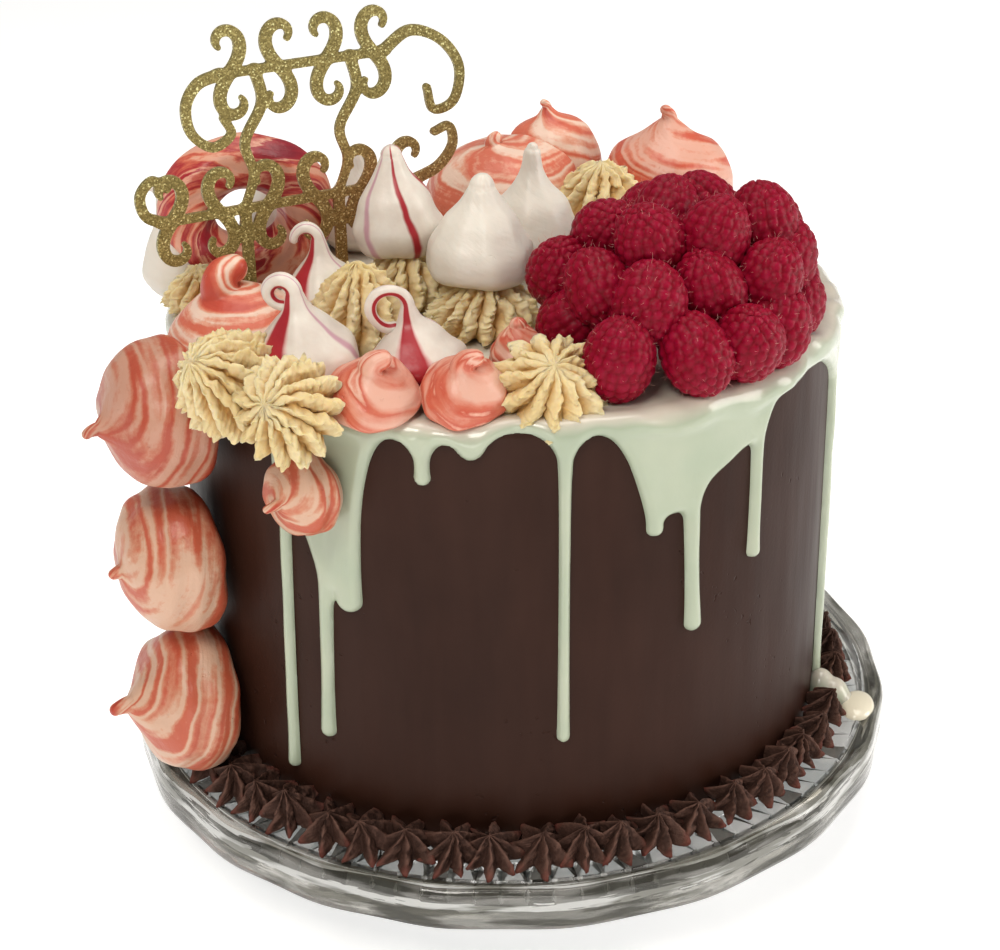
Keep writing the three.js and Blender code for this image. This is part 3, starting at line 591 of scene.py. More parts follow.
def make_cake():
    """The frosted side, spread a little unevenly."""
    sides = 300
    angle = TAU * np.arange(sides) / sides
    shoulder = CAKE_TOP - CAKE_ROUNDING
    profile = [(CAKE_RADIUS, z) for z in np.linspace(CAKE_BOTTOM, shoulder, 80)]
    for share in (0.35, 0.7, 1.0):
        bend = share * pi / 2
        profile.append((CAKE_RADIUS - CAKE_ROUNDING * (1 - cos(bend)),
                        CAKE_TOP - CAKE_ROUNDING * (1 - sin(bend))))
    rings = np.array([circle(r, angle, z) for r, z in profile])
    out = rings * [1, 1, 0]
    out /= np.linalg.norm(out, axis=-1, keepdims=True)
    uneven = 0.14 * wobble(rings * [1, 1, 0.5], 46, 3) + 0.03 * wobble(rings * [1, 1, 0.3], 9, 4)
    rings += out * (uneven - FROSTING_SINK)[..., None]
    points, faces, _ = skinned(rings, (0, 0, CAKE_BOTTOM), (0, 0, CAKE_TOP))
    piece("cake_body", points, faces, chocolate_frosting(), "chocolate", ["chocolate_cake"])


# ---- Icing ----

# Each broad tongue: azimuth, how far it hangs, and how wide it spreads.
TONGUES = [(-121, 38, 7.5), (-65, 22, 6.5), (-54, 17, 8), (-16, 8, 7)]

# Each drip: azimuth at its start and at its end, the two heights, and its width low down.
DRIPS = [
    (-127.8, -130.1, 152, 50, 4.2), (-120.3, -121.9, 130, 66, 4.8), (-114.8, -116.3, 166, 111, 7.8),
    (-118.2, -118.8, 140, 118, 4.6), (-103, -103, 170, 154.6, 4.0), (-95.4, -95.4, 170, 163.6, 4.0),
    (-81, -81.6, 168, 72, 3.7), (-67.2, -66.4, 156, 134.5, 4.6), (-60, -59, 152, 100.5, 5.2),
    (-46, -46, 164, 116.5, 4.4), (-13, -10.5, 164, 42, 5.0), (21, 21.6, 167, 106, 4.8),
    (47, 47.8, 167, 70, 4.8), (66, 65.5, 167, 118, 5.0), (84, 84.8, 167, 88, 5.0),
    (122, 122.7, 167, 76, 4.6), (141, 140.5, 167, 110, 5.0), (160, 160.6, 167, 92, 4.6),
]
HEM_HEIGHT = 168
EDGE_ROUNDING = 3.2
ICING_THICKNESS = 1.7
ICING_EDGE = 2.7
# The azimuth where the icing's rolled lip is thickest.
LIP_AZIMUTH = -38


def hem_height(azimuth):
    """The height of the icing's lower edge between the drips."""
    height = HEM_HEIGHT + 2.5 * np.cos(np.radians(2 * (azimuth + 93)))
    for middle, drop, spread in TONGUES:
        height = height - drop * hump(turn(azimuth, middle), spread)
    for start, *_ in DRIPS:
        height = height - 6 * hump(turn(azimuth, start), 3.4)
    return height


def icing_depth(s, z):
    """The distance into the icing from its edge, at arc length s round the side and height z."""
    azimuth = np.degrees(s / CAKE_RADIUS)
    hem = hem_height(azimuth)
    slope = (hem_height(azimuth + 0.3) - hem_height(azimuth - 0.3)) / (0.6 * pi / 180 * CAKE_RADIUS)
    depth = (z - hem) / np.sqrt(1 + slope**2)
    for start, end, top, bottom, width in DRIPS:
        bead = bottom + 0.55 * width
        share = np.clip((top - z) / (top - bead), 0, 1)
        middle = turn(azimuth, lerp(start, end, share)) * pi / 180 * CAKE_RADIUS
        over = np.maximum(bead - z, 0) + np.maximum(z - top, 0)
        fall = (top - z) / (top - bead)
        half = width * (0.43 + 0.32 * np.exp(-np.clip(top - z, 0, 200) / 9) + 0.1 * np.clip(fall, 0, 1) ** 6)
        drip = half - np.hypot(middle, over)
        depth = np.where(np.abs(middle) < 30, soft_max(depth, drip, 3.5), depth)
    return depth


def icing_surface(s, path, height):
    """The point that stands a height off the cake at a place on its side, over its edge or on its top."""
    corner = CAKE_TOP - EDGE_ROUNDING
    arc = EDGE_ROUNDING * pi / 2
    bend = np.clip((path - corner) / EDGE_ROUNDING, 0, pi / 2)
    inwards = np.maximum(path - corner - arc, 0)
    radius = CAKE_RADIUS - EDGE_ROUNDING + (EDGE_ROUNDING + height) * np.cos(bend) - inwards
    return circle(radius, s / CAKE_RADIUS, np.minimum(path, corner) + (EDGE_ROUNDING + height) * np.sin(bend))


def make_icing():
    """Poured icing: thin over the top and the edge, thicker where it ends, with beads on the drips."""
    corner = CAKE_TOP - EDGE_ROUNDING
    arc = EDGE_ROUNDING * pi / 2
    over = corner + arc
    s = np.linspace(-pi, pi, 1081) * CAKE_RADIUS
    path = np.concatenate([
        np.arange(39, corner - 0.5, 0.9), corner + np.linspace(0, arc, 9),
        over + np.arange(2.5, 30, 2.5), over + np.linspace(34, CAKE_RADIUS - EDGE_ROUNDING - 3, 8),
    ])
    s_at, path_at, depth, quads = cut_sheet(s, path, icing_depth)
    sheet = ICING_THICKNESS + 0.75 * np.exp(-np.maximum(depth - ICING_EDGE, 0) / 5)
    flat = icing_surface(s_at, path_at, 0)
    right_front = hump(turn(np.degrees(s_at / CAKE_RADIUS), LIP_AZIMUTH), 34)
    rolled = hump(path_at - CAKE_TOP + 1.5 - 2 * wobble(flat, 22, 13), 2.6)
    lip = rolled * (0.5 + 1.1 * right_front) * (1 + 0.5 * wobble(flat, 14, 12))
    height = rounded(depth, ICING_EDGE) * (sheet + 0.22 * wobble(flat, 26, 11) + lip) - FROSTING_SINK
    points = icing_surface(s_at, path_at, height)
    # The sheet's two ends meet at the back: the last column's points give way to the first one's.
    seam = np.abs(s_at - s[-1]) < 1e-6
    first = {round(p, 4): i for i, (q, p) in enumerate(zip(s_at, path_at)) if abs(q - s[0]) < 1e-6}
    swap = np.arange(len(s_at))
    for i in np.flatnonzero(seam):
        swap[i] = first.get(round(path_at[i], 4), i)
    faces = [tuple(q) for q in swap[quads].tolist()]
    highest = np.flatnonzero(path_at > path[-1] - 1e-6)
    faces.append(tuple(int(i) for i in highest[np.argsort(s_at[highest])] if not seam[i]))
    points, faces = joined([(points, faces), pool(DRIP_FOOT)])
    piece("icing_coat", points, faces, poured_icing(), "icing", ["drip_icing"])
    piece("ivory_pool", *pool(IVORY_POOL), ivory_icing(), "icing")


# Domes of icing on the plate, each with its distance from the wall, its place along it, its reach both
# ways and its height. Three run together where the long drip on the right reaches the plate, and one of
# another icing lies beside them, beyond the border.
POOL_AZIMUTH = -14
POOL_EDGE = 1.6
DRIP_FOOT = [(2.6, 3.4, 5.6, 6.2, 9.6), (6.8, 2.2, 5.8, 6.0, 7.4), (10.4, 1.2, 3.6, 4.4, 3.6)]
IVORY_POOL = [(15.4, -1.2, 5.5, 8.6, 2.8)]


def pool(domes):
    """The skin of some domes of icing on the plate, melted into one another."""

    def depth(u, v):
        total = np.full(u.shape, OUTSIDE)
        for x, y, reach_out, reach_along, _ in domes:
            away = np.hypot((u - x) / reach_out, (v - y) / reach_along)
            total = soft_max(total, (1 - away) * min(reach_out, reach_along), 2)
        return np.minimum(total, u + 2)

    grid = np.arange(-14, 24, 0.4)
    u, v, edge, quads = cut_sheet(grid, grid, depth)
    rise = np.zeros(len(u))
    for x, y, reach_out, reach_along, top in domes:
        near = np.clip(1 - ((u - x) / reach_out) ** 2 - ((v - y) / reach_along) ** 2, 0, 1)
        rise = soft_max(rise, top * near**0.45, 1.5)
    points = around(1, POOL_AZIMUTH) * (CAKE_RADIUS + u)[:, None] + around(1, POOL_AZIMUTH + 90) * v[:, None]
    points[:, 2] = PLATE_TOP + 0.05 + np.minimum(rise, rounded(edge, POOL_EDGE) * (rise + 0.6))
    return points, quads.tolist()


# ---- Border ----

BORDER_STARS = 54
BORDER_INNER = 100.5
BORDER_RADIUS = 118.4
STAR_HEIGHT = 9.6
STAR_TILT = radians(20)
STAR_SHIFT = 1.9
STAR_PROFILE = [(0, 0.93), (0.08, 1.0), (0.28, 0.84), (0.52, 0.58), (0.76, 0.33), (0.92, 0.14), (1, 0.04)]
# The long drip on the right comes down in a gap between two stars.
GAP_AZIMUTH = -11.5
GAP_HALF_WIDTH = 3.2


def border_outer(azimuth):
    """How far the border reaches from the cake's axis: further at the front and the left."""
    return BORDER_RADIUS - 3.2 * cos(radians(azimuth)) - 2.6 * sin(radians(azimuth))


def star(size, draw):
    """One piped star, tipped outwards: sharp blades run from a pointed foot up to a peak.

    Gives its points, faces, and a tone that is 1 at the tips of the foot."""
    blades = int(draw.integers(7, 9))
    angle, which, crest = blades_round(blades, blades * 12, draw.uniform(0, 1))
    twist = draw.uniform(-0.35, 0.6)
    lengths = draw.uniform(0.84, 1.12, blades)
    lifts = draw.uniform(-1.0, 1.6, blades)
    lean = np.array([draw.uniform(-0.8, 0.8), draw.uniform(-1.8, 1.8)])
    height = STAR_HEIGHT * draw.uniform(0.9, 1.1)
    rings, tones = [], []
    for level in np.linspace(0, 1, 15):
        spoke = lerp(lengths[which], 1, level)
        depth = lerp(0.5, 0.66, level)
        radius = size * smooth_through(STAR_PROFILE, level) * (1 - depth + depth * crest**1.3 * spoke)
        rise = height * level + lifts[which] * crest * 4 * level * (1 - level)
        rings.append(circle(radius, angle + twist * level, rise) + [*(lean * level**1.2), 0])
        tones.append(crest**2 * (1 - level) ** 2)
    points, faces, _ = skinned(rings, (0, 0, 0), (lean[0], lean[1], height + 0.5))
    tipped = points.copy()
    tipped[:, 0] = points[:, 0] * cos(STAR_TILT) + points[:, 2] * sin(STAR_TILT) - STAR_SHIFT
    tipped[:, 2] = points[:, 2] * cos(STAR_TILT) - (points[:, 0] - 0.8 * size) * sin(STAR_TILT)
    return tipped, faces, np.concatenate([np.ravel(tones), [0, 0]])


def make_border():
    draw = np.random.default_rng(21)
    stars, tones = [], []
    for k in range(BORDER_STARS):
        azimuth = 360 * k / BORDER_STARS + draw.uniform(-0.9, 0.9)
        outer = border_outer(azimuth)
        points, faces, tone = star((outer - BORDER_INNER) / 2 * draw.uniform(1.0, 1.14), draw)
        if abs(turn(azimuth, GAP_AZIMUTH)) < GAP_HALF_WIDTH:
            continue
        angle = radians(azimuth)
        spin = np.array([[cos(angle), -sin(angle), 0], [sin(angle), cos(angle), 0], [0, 0, 1]])
        points = points @ spin.T + around((outer + BORDER_INNER) / 2, azimuth, PLATE_TOP + 0.2)
        rough = 0.3 * wobble(points, 4, 100 + k) + 0.26 * wobble(points, 1.4, 200 + k)
        points = points + rough[:, None] * [0.8, -0.8, 0.6]
        points[:, 2] = np.maximum(points[:, 2], PLATE_TOP + 0.1)
        stars.append((points, faces))
        tones.append(tone)
    points, faces = joined(stars)
    piece("piped_border", points, faces, piped_chocolate(), "chocolate_border", ["chocolate_border"],
          tones=np.concatenate(tones))


# ---- Topper ----

TOPPER_MIDDLE = (-55, -6)
TOPPER_YAW = 27
TOPPER_THICKNESS = 1.5
TOPPER_STROKE = 3.4
TOPPER_FOOT = ICING_TOP + 0.3
TOPPER_GRID = 0.5
SCROLL_SLANT = radians(52)
SCROLL_WINDING = 4.5
# Each row of scrolls: where its bar starts and ends, its height, the scrolls' size and how many there are.
SCROLL_ROWS = [(-25, 20, 247, 22, 4), (-46, 29, 206, 22, 6)]
# Curls at the ends of the bars, each through its points (across, up).
FLOURISHES = [
    [(-28, 247), (-35, 245), (-39, 239), (-38, 231), (-32, 226), (-26, 229), (-28, 234)],
    [(-49, 206), (-54, 209), (-55, 215), (-51, 219), (-47, 216)],
    [(23, 247), (32, 252), (42, 248), (48, 239), (46, 229), (39, 227), (37, 234)],
    [(32, 206), (40, 209), (45, 215), (44, 221), (39, 220)],
]
# Each leg's place across the card, and the wavy stem above it, given from the leg.
LEGS = [-23.5, 6.5]
STEM = [(6, 247), (7.5, 237), (1.5, 226), (3.5, 216), (0, 206)]


def double_scroll(x, z, size, mirror):
    """A line whose curvature grows evenly from its middle to both ends."""
    share = np.linspace(-1, 1, 97)
    along = np.sign(share) * np.sqrt(np.abs(share))
    heading = SCROLL_SLANT + SCROLL_WINDING * ((along[1:] + along[:-1]) / 2) ** 2
    across, up = (
        np.concatenate([[0], np.cumsum(np.diff(along) * way(heading))]) for way in (np.cos, np.sin))
    middle = len(share) // 2
    return np.stack([x + mirror * size * (across - across[middle]), z + size * (up - up[middle])], -1)


def curve_through(knots, count):
    places = np.linspace(0, 1, len(knots))
    at = np.linspace(0, 1, count)
    xs, zs = np.array(knots, float).T
    return np.stack([smooth_through(list(zip(places, line)), at) for line in (xs, zs)], -1)


def topper_strokes():
    """Every stroke as a line of points and the half width at each."""
    strokes = []
    for start, end, height, size, scrolls in SCROLL_ROWS:
        bar = np.array([(start - 4, height), (end + 4, height)], float)
        strokes.append((bar, np.full(2, 0.4 * TOPPER_STROKE)))
        for k in range(scrolls):
            line = double_scroll(lerp(start, end, k / (scrolls - 1)), height, size, -1 if k % 2 else 1)
            share = np.linspace(0, 1, len(line))
            strokes.append((line, 0.5 * TOPPER_STROKE * lerp(0.5, 1.1, np.sin(pi * share))))
    for knots in FLOURISHES + [[(leg + x, z) for x, z in STEM] for leg in LEGS]:
        strokes.append((curve_through(knots, 40), 0.5 * TOPPER_STROKE * np.linspace(1, 0.7, 40)))
    for x in LEGS:
        line = np.array([(x, TOPPER_FOOT), (x, SCROLL_ROWS[1][2])])
        strokes.append((line, np.full(2, 0.5 * TOPPER_STROKE)))
    return strokes


def card_depth(strokes, u, v):
    """The distance into the card from its cut edge, at a place in the topper's plane."""
    total = np.full(u.shape, OUTSIDE)
    margin = 6
    for line, half in strokes:
        low, high = line.min(0) - margin, line.max(0) + margin
        near = (u > low[0]) & (u < high[0]) & (v > low[1]) & (v < high[1])
        at = np.stack([u[near], v[near]], -1)
        best = np.full(len(at), OUTSIDE)
        for a, b, wide, narrow in zip(line[:-1], line[1:], half[:-1], half[1:]):
            share = np.clip(((at - a) @ (b - a)) / ((b - a) @ (b - a)), 0, 1)
            away = np.linalg.norm(at - a - share[:, None] * (b - a), axis=1)
            best = np.maximum(best, lerp(wide, narrow, share) - away)
        total[near] = soft_max(total[near], best, 0.8)
    return total


def make_topper():
    """Scrollwork cut from glitter card, standing on two legs."""
    strokes = topper_strokes()
    us = np.arange(-60, 56, TOPPER_GRID)
    vs = np.arange(TOPPER_FOOT, 266, TOPPER_GRID)
    u, v, _, quads = cut_sheet(us, vs, lambda a, b: card_depth(strokes, a, b))
    flat = np.array([*TOPPER_MIDDLE, 0]) + around(1, TOPPER_YAW) * u[:, None]
    flat[:, 2] = v
    out = around(1, TOPPER_YAW - 90) * TOPPER_THICKNESS / 2
    count = len(u)
    # Each edge that only one quad has is on the rim, and carries a quad from the front to the back.
    edges = np.concatenate([quads[:, [i, (i + 1) % 4]] for i in range(4)])
    _, where, times = np.unique(np.sort(edges, axis=1), axis=0, return_index=True, return_counts=True)
    faces = quads.tolist() + (quads[:, ::-1] + count).tolist()
    faces += [(int(b), int(a), int(a) + count, int(b) + count) for a, b in edges[where[times == 1]]]
    piece("scroll_topper", np.concatenate([flat + out, flat - out]), faces, glitter_card(), "glitter",
          ["glitter_topper"], smooth=False)


# ---- Meringues ----

BELL = [(0, 0.86), (0.14, 1), (0.4, 0.93), (0.66, 0.66), (0.86, 0.38), (1, 0.24)]
ONION = [(0, 0.82), (0.14, 1), (0.36, 0.95), (0.6, 0.6), (0.8, 0.28), (1, 0.15)]
PEAR = [(0, 0.82), (0.12, 1), (0.34, 0.98), (0.54, 0.8), (0.7, 0.46), (0.84, 0.25), (1, 0.17)]
SWIRL = [(0, 0.88), (0.16, 1), (0.42, 0.97), (0.66, 0.82), (0.84, 0.44), (1, 0.13)]
PUFF = [(0, 0.88), (0.16, 1), (0.42, 0.98), (0.66, 0.87), (0.82, 0.6), (0.9, 0.28), (1, 0.1)]
ROUND = [(0, 0.88), (0.2, 1), (0.5, 0.96), (0.76, 0.78), (0.92, 0.5), (0.98, 0.28), (1, 0.12)]
DOME = [(0, 0.9), (0.18, 1), (0.5, 0.9), (0.78, 0.62), (1, 0.3)]

# Each meringue: middle of its base, width, length, form, lean (azimuth, angle), hook (azimuth, angle,
# radius), finish, and how far its streaks wind round it on their way up.
MERINGUES = {
    "meringue_side_upper": ((-89.5, -57, 161), 42, 30, PUFF, (-147, 90), (180, 60, 3), "upper", 1.1),
    "meringue_side_middle": ((-91.5, -50.7, 110), 45, 27, ROUND, (-151, 90), (170, 40, 2), "side", 0.9),
    "meringue_side_lower": ((-91.5, -53, 61), 46, 29, SWIRL, (-150, 80), (180, 40, 6), "side", 1.2),
    "meringue_side_small": ((-53.1, -90.2, 150), 24, 15, SWIRL, (-126, 86), (180, 50, 4), "side", 1.0),
    "meringue_swirl_left": ((-78, -40, 173.3), 40, 17, DOME, (200, 12), (20, 90, 5), "coral", 1.4),
    "meringue_swirl_back": ((1, 72, 173.3), 52, 25, ROUND, (200, 8), (20, 60, 2), "coral", 1.3),
    "meringue_swirl_behind": ((19, 88.5, 173.3), 33, 32, PUFF, (180, 5), (180, 60, 2), "coral", 1.2),
    "meringue_swirl_right": ((57, 77, 173.3), 43, 30, SWIRL, (0, 0), (200, 40, 5), "right", 1.4),
    "kiss_white_tall": ((-7, -27, 187), 31.5, 28, BELL, (0, 3), (0, 0, 6), "white", 0.8),
    "kiss_white_back": ((9.5, 18, 175), 28, 36, PEAR, (90, 0), (0, 10, 5), "white", 1.2),
    "kiss_white_edge": ((-100, 5, 173.3), 22, 30, ONION, (180, 8), (180, 80, 4), "white", 0.8),
    "kiss_white_in_ring": ((-71, 44, 173.3), 30, 28, BELL, (180, 0), (180, 20, 5), "white", 0.8),
    "kiss_white_behind": ((-45, 45, 173.3), 30, 28, BELL, (0, 0), (0, 20, 5), "white", 0.8),
    "kiss_red_front": ((-55, -73, 175), 31, 26, ONION, (180, 4), (175, 270, 3.7), "red", 0.12),
    "kiss_red_middle": ((-52, -30, 176), 28, 25, ONION, (180, 4), (180, 170, 3.4), "red", 0.1),
    "kiss_red_loop": ((-24, -72, 175), 27, 21, ONION, (180, 6), (185, 280, 5.2), "red", 0.12),
    "kiss_red_tall": ((-31, -9, 190), 27, 29, BELL, (180, 3), (0, 0, 5), "red", 0.08),
    "meringue_bead_left": ((-36, -90, 175), 26, 13, DOME, (-80, 20), (0, 80, 3), "bead", 0.7),
    "meringue_bead_right": ((-11, -90, 175), 24.5, 13, DOME, (-90, 20), (0, 90, 3), "bead", 0.7),
    "meringue_bead_small": ((4, -64, 173.3), 17, 13, DOME, (0, 0), (0, 0, 5), "bead", 0.7),
}
SLOTS = {"red": "red_striped_meringue", "white": "white_meringue"}
CORAL_SLOT = "coral_meringue"
# How far round each kiss its red stripes are turned.
STRIPES_TURNED = {
    "kiss_red_front": 0.437, "kiss_red_middle": 0.453, "kiss_red_loop": 0.345, "kiss_red_tall": 0.76,
}


def meringue(width, length, form, hook, seed):
    """Rings of a body that narrows to a round tip, which then curls over."""
    sides = 60
    half = width / 2
    towards_azimuth, hook_angle, hook_radius = hook
    hook_length = radians(hook_angle) * hook_radius
    tip_share = form[-1][1]
    body = np.linspace(0, 1, 36) * length
    tail = length + hook_length * np.linspace(0, 1, 4 + int(hook_angle / 12))[1:]
    share = np.concatenate([
        smooth_through(form, body / length),
        tip_share * (1 - 0.3 * (tail - length) / max(hook_length, 1e-3)),
    ])
    share[0:3] *= [0.9, 0.96, 0.99]
    nose = np.array([0.3, 0.55, 0.76, 0.92])
    along = np.concatenate([body, tail, np.full(len(nose), tail[-1])])
    past = np.concatenate([np.zeros(len(share)), nose * half * share[-1]])
    share = np.concatenate([share, share[-1] * np.sqrt(1 - nose**2)])
    towards = around(1, towards_azimuth)
    hinge = Vector((-towards[1], towards[0], 0))
    angle = TAU * np.arange(sides) / sides
    draw = np.random.default_rng(seed)
    lumps = [(k, draw.uniform(0.006, 0.02), draw.uniform(0, TAU)) for k in (3, 4, 6, 9)]
    rings = []
    for a, w, beyond in zip(along, share, past):
        bend = max(0, a - length) / hook_radius
        middle = towards * hook_radius * (1 - cos(bend))
        middle = middle + [0, 0, min(a, length) + hook_radius * sin(bend)]
        ridge = 1 + sum(depth * np.cos(k * angle + start + 2.2 * a / length) for k, depth, start in lumps)
        rings.append(circle(half * w * ridge, angle, beyond) @ rotation(bend, hinge) + middle)
    rings = np.array(rings)
    rings += 0.32 * wobble(rings, 13, seed)[..., None] * np.array([0.6, 0.6, 0.8])
    ledge = 0.22 * np.sin(TAU * (along / length * 3.2 + 0.1) + seed)
    rings[..., :2] *= (1 + ledge / half * np.clip(1 - past, 0, 1) * (along <= length))[:, None, None]
    end = rings[-1].mean(0) + (rings[-1].mean(0) - rings[-2].mean(0)) * 0.5
    return skinned(rings, rings[0].mean(0), end)


def tinted(stops, share):
    """A ramp's stops, with each colour multiplied by a share of red, green and blue."""
    return [(at, tuple(part * by for part, by in zip(colour, share))) for at, colour in stops]


def meringue_finishes():
    cream, pale, coral = (0.82, 0.60, 0.48), (0.76, 0.38, 0.26), (0.66, 0.16, 0.09)
    deep, milk, blush = (0.54, 0.075, 0.042), (0.78, 0.73, 0.65), (0.72, 0.45, 0.42)
    red, violet = (0.40, 0.018, 0.028), (0.60, 0.36, 0.42)
    bands = [(0.26, deep), (0.32, coral), (0.36, pale), (0.385, cream), (0.42, cream), (0.44, pale),
             (0.47, coral), (0.505, coral), (0.53, pale), (0.55, cream), (0.59, cream), (0.615, pale),
             (0.65, coral), (0.70, deep)]
    # Copies of the coral meringue, each multiplied by a share of red, green and blue. The upper one on the
    # side is darker partly as painted shade and partly for more coral in its streaks.
    tints = {
        "coral": ("coral_meringue", (1, 1, 1)),
        "side": ("deep_coral_meringue", (0.78, 0.68, 0.60)),
        "upper": ("shaded_coral_meringue", (0.64, 0.46, 0.40)),
        "right": ("warm_coral_meringue", (0.90, 0.66, 0.62)),
    }
    finishes = {
        finish: streaked_meringue(name, tinted(bands, share), 0.5, 0.2, fineness=0.1)
        for finish, (name, share) in tints.items()
    }
    finishes["bead"] = streaked_meringue("bead_meringue", [
        (0.34, (0.74, 0.42, 0.32)), (0.43, (0.66, 0.25, 0.17)), (0.46, (0.60, 0.16, 0.095)),
        (0.50, (0.55, 0.10, 0.055)), (0.53, (0.72, 0.36, 0.26)), (0.56, (0.76, 0.47, 0.37)),
        (0.60, (0.66, 0.25, 0.17)), (0.66, deep)], 0.6, 0.3, fineness=0.12)
    finishes["red"] = red_stripes([
        (0.0, milk), (0.05, milk), (0.065, blush), (0.075, red), (0.165, red), (0.178, blush), (0.19, milk),
        (0.40, milk), (0.412, violet), (0.428, violet), (0.44, milk), (0.575, milk), (0.585, red),
        (0.605, red), (0.615, milk), (0.80, milk), (0.81, blush), (0.82, red), (0.865, red), (0.875, milk)])
    finishes["white"] = streaked_meringue(
        "white_meringue", [(0.35, (0.74, 0.69, 0.61)), (0.6, milk)], 0.6, 0.2, 0.00025)
    finishes["ring"] = streaked_meringue("ring_meringue", [
        (0.34, (0.70, 0.36, 0.27)), (0.42, pale), (0.45, coral), (0.50, red), (0.54, (0.56, 0.12, 0.08)),
        (0.58, pale), (0.61, red), (0.70, (0.26, 0.006, 0.02))], 0.9, 0.3)
    return finishes


def make_meringues():
    finishes = meringue_finishes()
    for seed, (name, row) in enumerate(MERINGUES.items()):
        at, width, length, form, lean, hook, finish, winding = row
        points, faces, uv = meringue(width, length, form, hook, 300 + seed)
        around_it, up = np.array(uv).T
        turned = around_it + winding * up + STRIPES_TURNED.get(name, 0)
        slot = SLOTS.get(finish, CORAL_SLOT)
        piece(name + "_baked", leaned(points, at, *lean), faces, finishes[finish], slot, [name],
              uv=np.stack([turned, 1.2 * up + 3.7 * seed], -1))
    make_ring_meringue(finishes["ring"])


RING_MIDDLE = (-79, 8, 196.8)
RING_HALF_WIDTH = 27
RING_HALF_HEIGHT = 24
RING_TUBE = 8.6


def make_ring_meringue(finish):
    """A ring-shaped meringue that stands on its edge, with ridges that run round it."""
    steps, sides = 96, 40
    side = TAU * np.arange(sides) / sides
    rings = []
    for a in TAU * np.arange(steps) / steps:
        thick = RING_TUBE * (1 + 0.05 * np.cos(6 * side + 1.4 * sin(a)) + 0.03 * sin(3 * a))
        out = thick * np.cos(side)
        rings.append(np.stack([(RING_HALF_WIDTH - RING_TUBE + out) * cos(a), 1.15 * thick * np.sin(side),
                               (RING_HALF_HEIGHT - RING_TUBE + out) * sin(a)], -1))
    rings = np.array(rings)
    rings += 0.3 * wobble(rings, 12, 77)[..., None] * np.array([0.7, 0.7, 0.7])
    faces, uv = ring_faces(steps, sides, closed=True)
    uv = np.array(uv)
    uv = np.stack([uv[:, 0] + 0.35 * np.sin(TAU * uv[:, 1]), 0.9 * np.cos(TAU * uv[:, 1])], -1)
    points = rings.reshape(-1, 3) @ rotation(radians(-12), "X") @ rotation(radians(8), "Z")
    piece("meringue_ring_baked", points + np.array(RING_MIDDLE), faces, finish, CORAL_SLOT, ["meringue_ring"],
          uv=uv)


# ---- Rosettes ----

# Each rosette: middle of its base, width, length, ridges, lean (azimuth, angle).
ROSETTES = {
    "rosette_left_large": ((-71.5, -79, 174), 32, 24, 15, (-130, 50)),
    "rosette_front_left": ((-56, -95, 175), 31, 19, 14, (-112, 62)),
    "rosette_middle_left": ((-42, -44, 173.3), 29, 25, 12, (0, 0)),
    "rosette_under_tall": ((-6, -32, 173.3), 34, 15, 14, (0, 0)),
    "rosette_sunflower": ((12, -86, 175.5), 34, 13, 13, (-80, 32)),
    "rosette_back": ((33, 56, 173.3), 36, 22, 13, (0, 0)),
    "rosette_under_red": ((-30, -12, 173.3), 30, 18, 12, (0, 0)),
    "rosette_far_left": ((-92, -12, 173.3), 24, 13, 11, (0, 0)),
}
ROSETTE_FORM = [(0, 0.86), (0.1, 0.98), (0.3, 1.0), (0.55, 0.86), (0.78, 0.6), (0.92, 0.36), (1, 0.12)]


def rosette(width, length, petals, seed):
    """A piped star whose blunt, ragged ridges rise to a lumpy middle, and the tone of each of its points,
    which paints shade in the grooves and light on the ridges and the peak.
    """
    draw = np.random.default_rng(seed)
    angle, which, crest = blades_round(petals, petals * 14)
    reach = draw.uniform(0.86, 1.06, petals)
    rises = draw.uniform(-1.2, 1.6, petals)
    ridge = 1 - (1 - crest) ** 2
    levels = np.linspace(0, 1, 44)
    teeth = draw.uniform(-1, 1, (len(levels), petals))
    teeth = 0.5 * teeth + 0.5 * np.roll(teeth, 1, axis=0)
    rings = []
    for level, tooth in zip(levels, teeth):
        swell = smooth_through(ROSETTE_FORM, level)
        depth = lerp(0.34, 0.46, level)
        spoke = lerp(reach[which], 1, level**2)
        torn = 1 + 0.075 * tooth[which] * ridge
        radius = 0.5 * width * swell * (1 - depth + depth * lerp(crest, ridge, 0.6) * spoke) * torn
        bearing = angle + 0.35 * level + 0.05 * np.sin(9 * level + 2 * which)
        rise = length * level + rises[which] * crest * 4 * level * (1 - level)
        rise = rise + 0.4 * tooth[which] * ridge * level
        rings.append(circle(radius, bearing, rise))
    rings = np.array(rings)
    rings += 0.4 * wobble(rings, 4, seed + 1)[..., None] * np.array([1, 1, 0.8])
    rings += 0.3 * wobble(rings, 1.8, seed + 2)[..., None] * np.array([0.8, -0.8, 1.0])
    # The tone is low in the grooves for painted shade and high on the crests for painted light.
    tones = np.broadcast_to(lerp(crest, ridge, 0.5), (len(levels), len(angle))).copy()
    # The top rings turn to the pale ridge colour: painted light on the peak.
    tones[-6:] = lerp(tones[-6:], 1, np.linspace(0.3, 1, 6)[:, None])
    points, faces, _ = skinned(rings, (0, 0, 0), rings[-1].mean(0) + [0, 0, 0.6])
    return points, faces, np.concatenate([tones.ravel(), [0, 1]])


def make_rosettes():
    finish = buttercream()
    for seed, (name, (at, width, length, petals, lean)) in enumerate(ROSETTES.items()):
        points, faces, tones = rosette(width, length, petals, 500 + 5 * seed)
        piece(name + "_piped", leaned(points, at, *lean), faces, finish, "buttercream", [name], tones=tones)


# ---- Raspberries ----

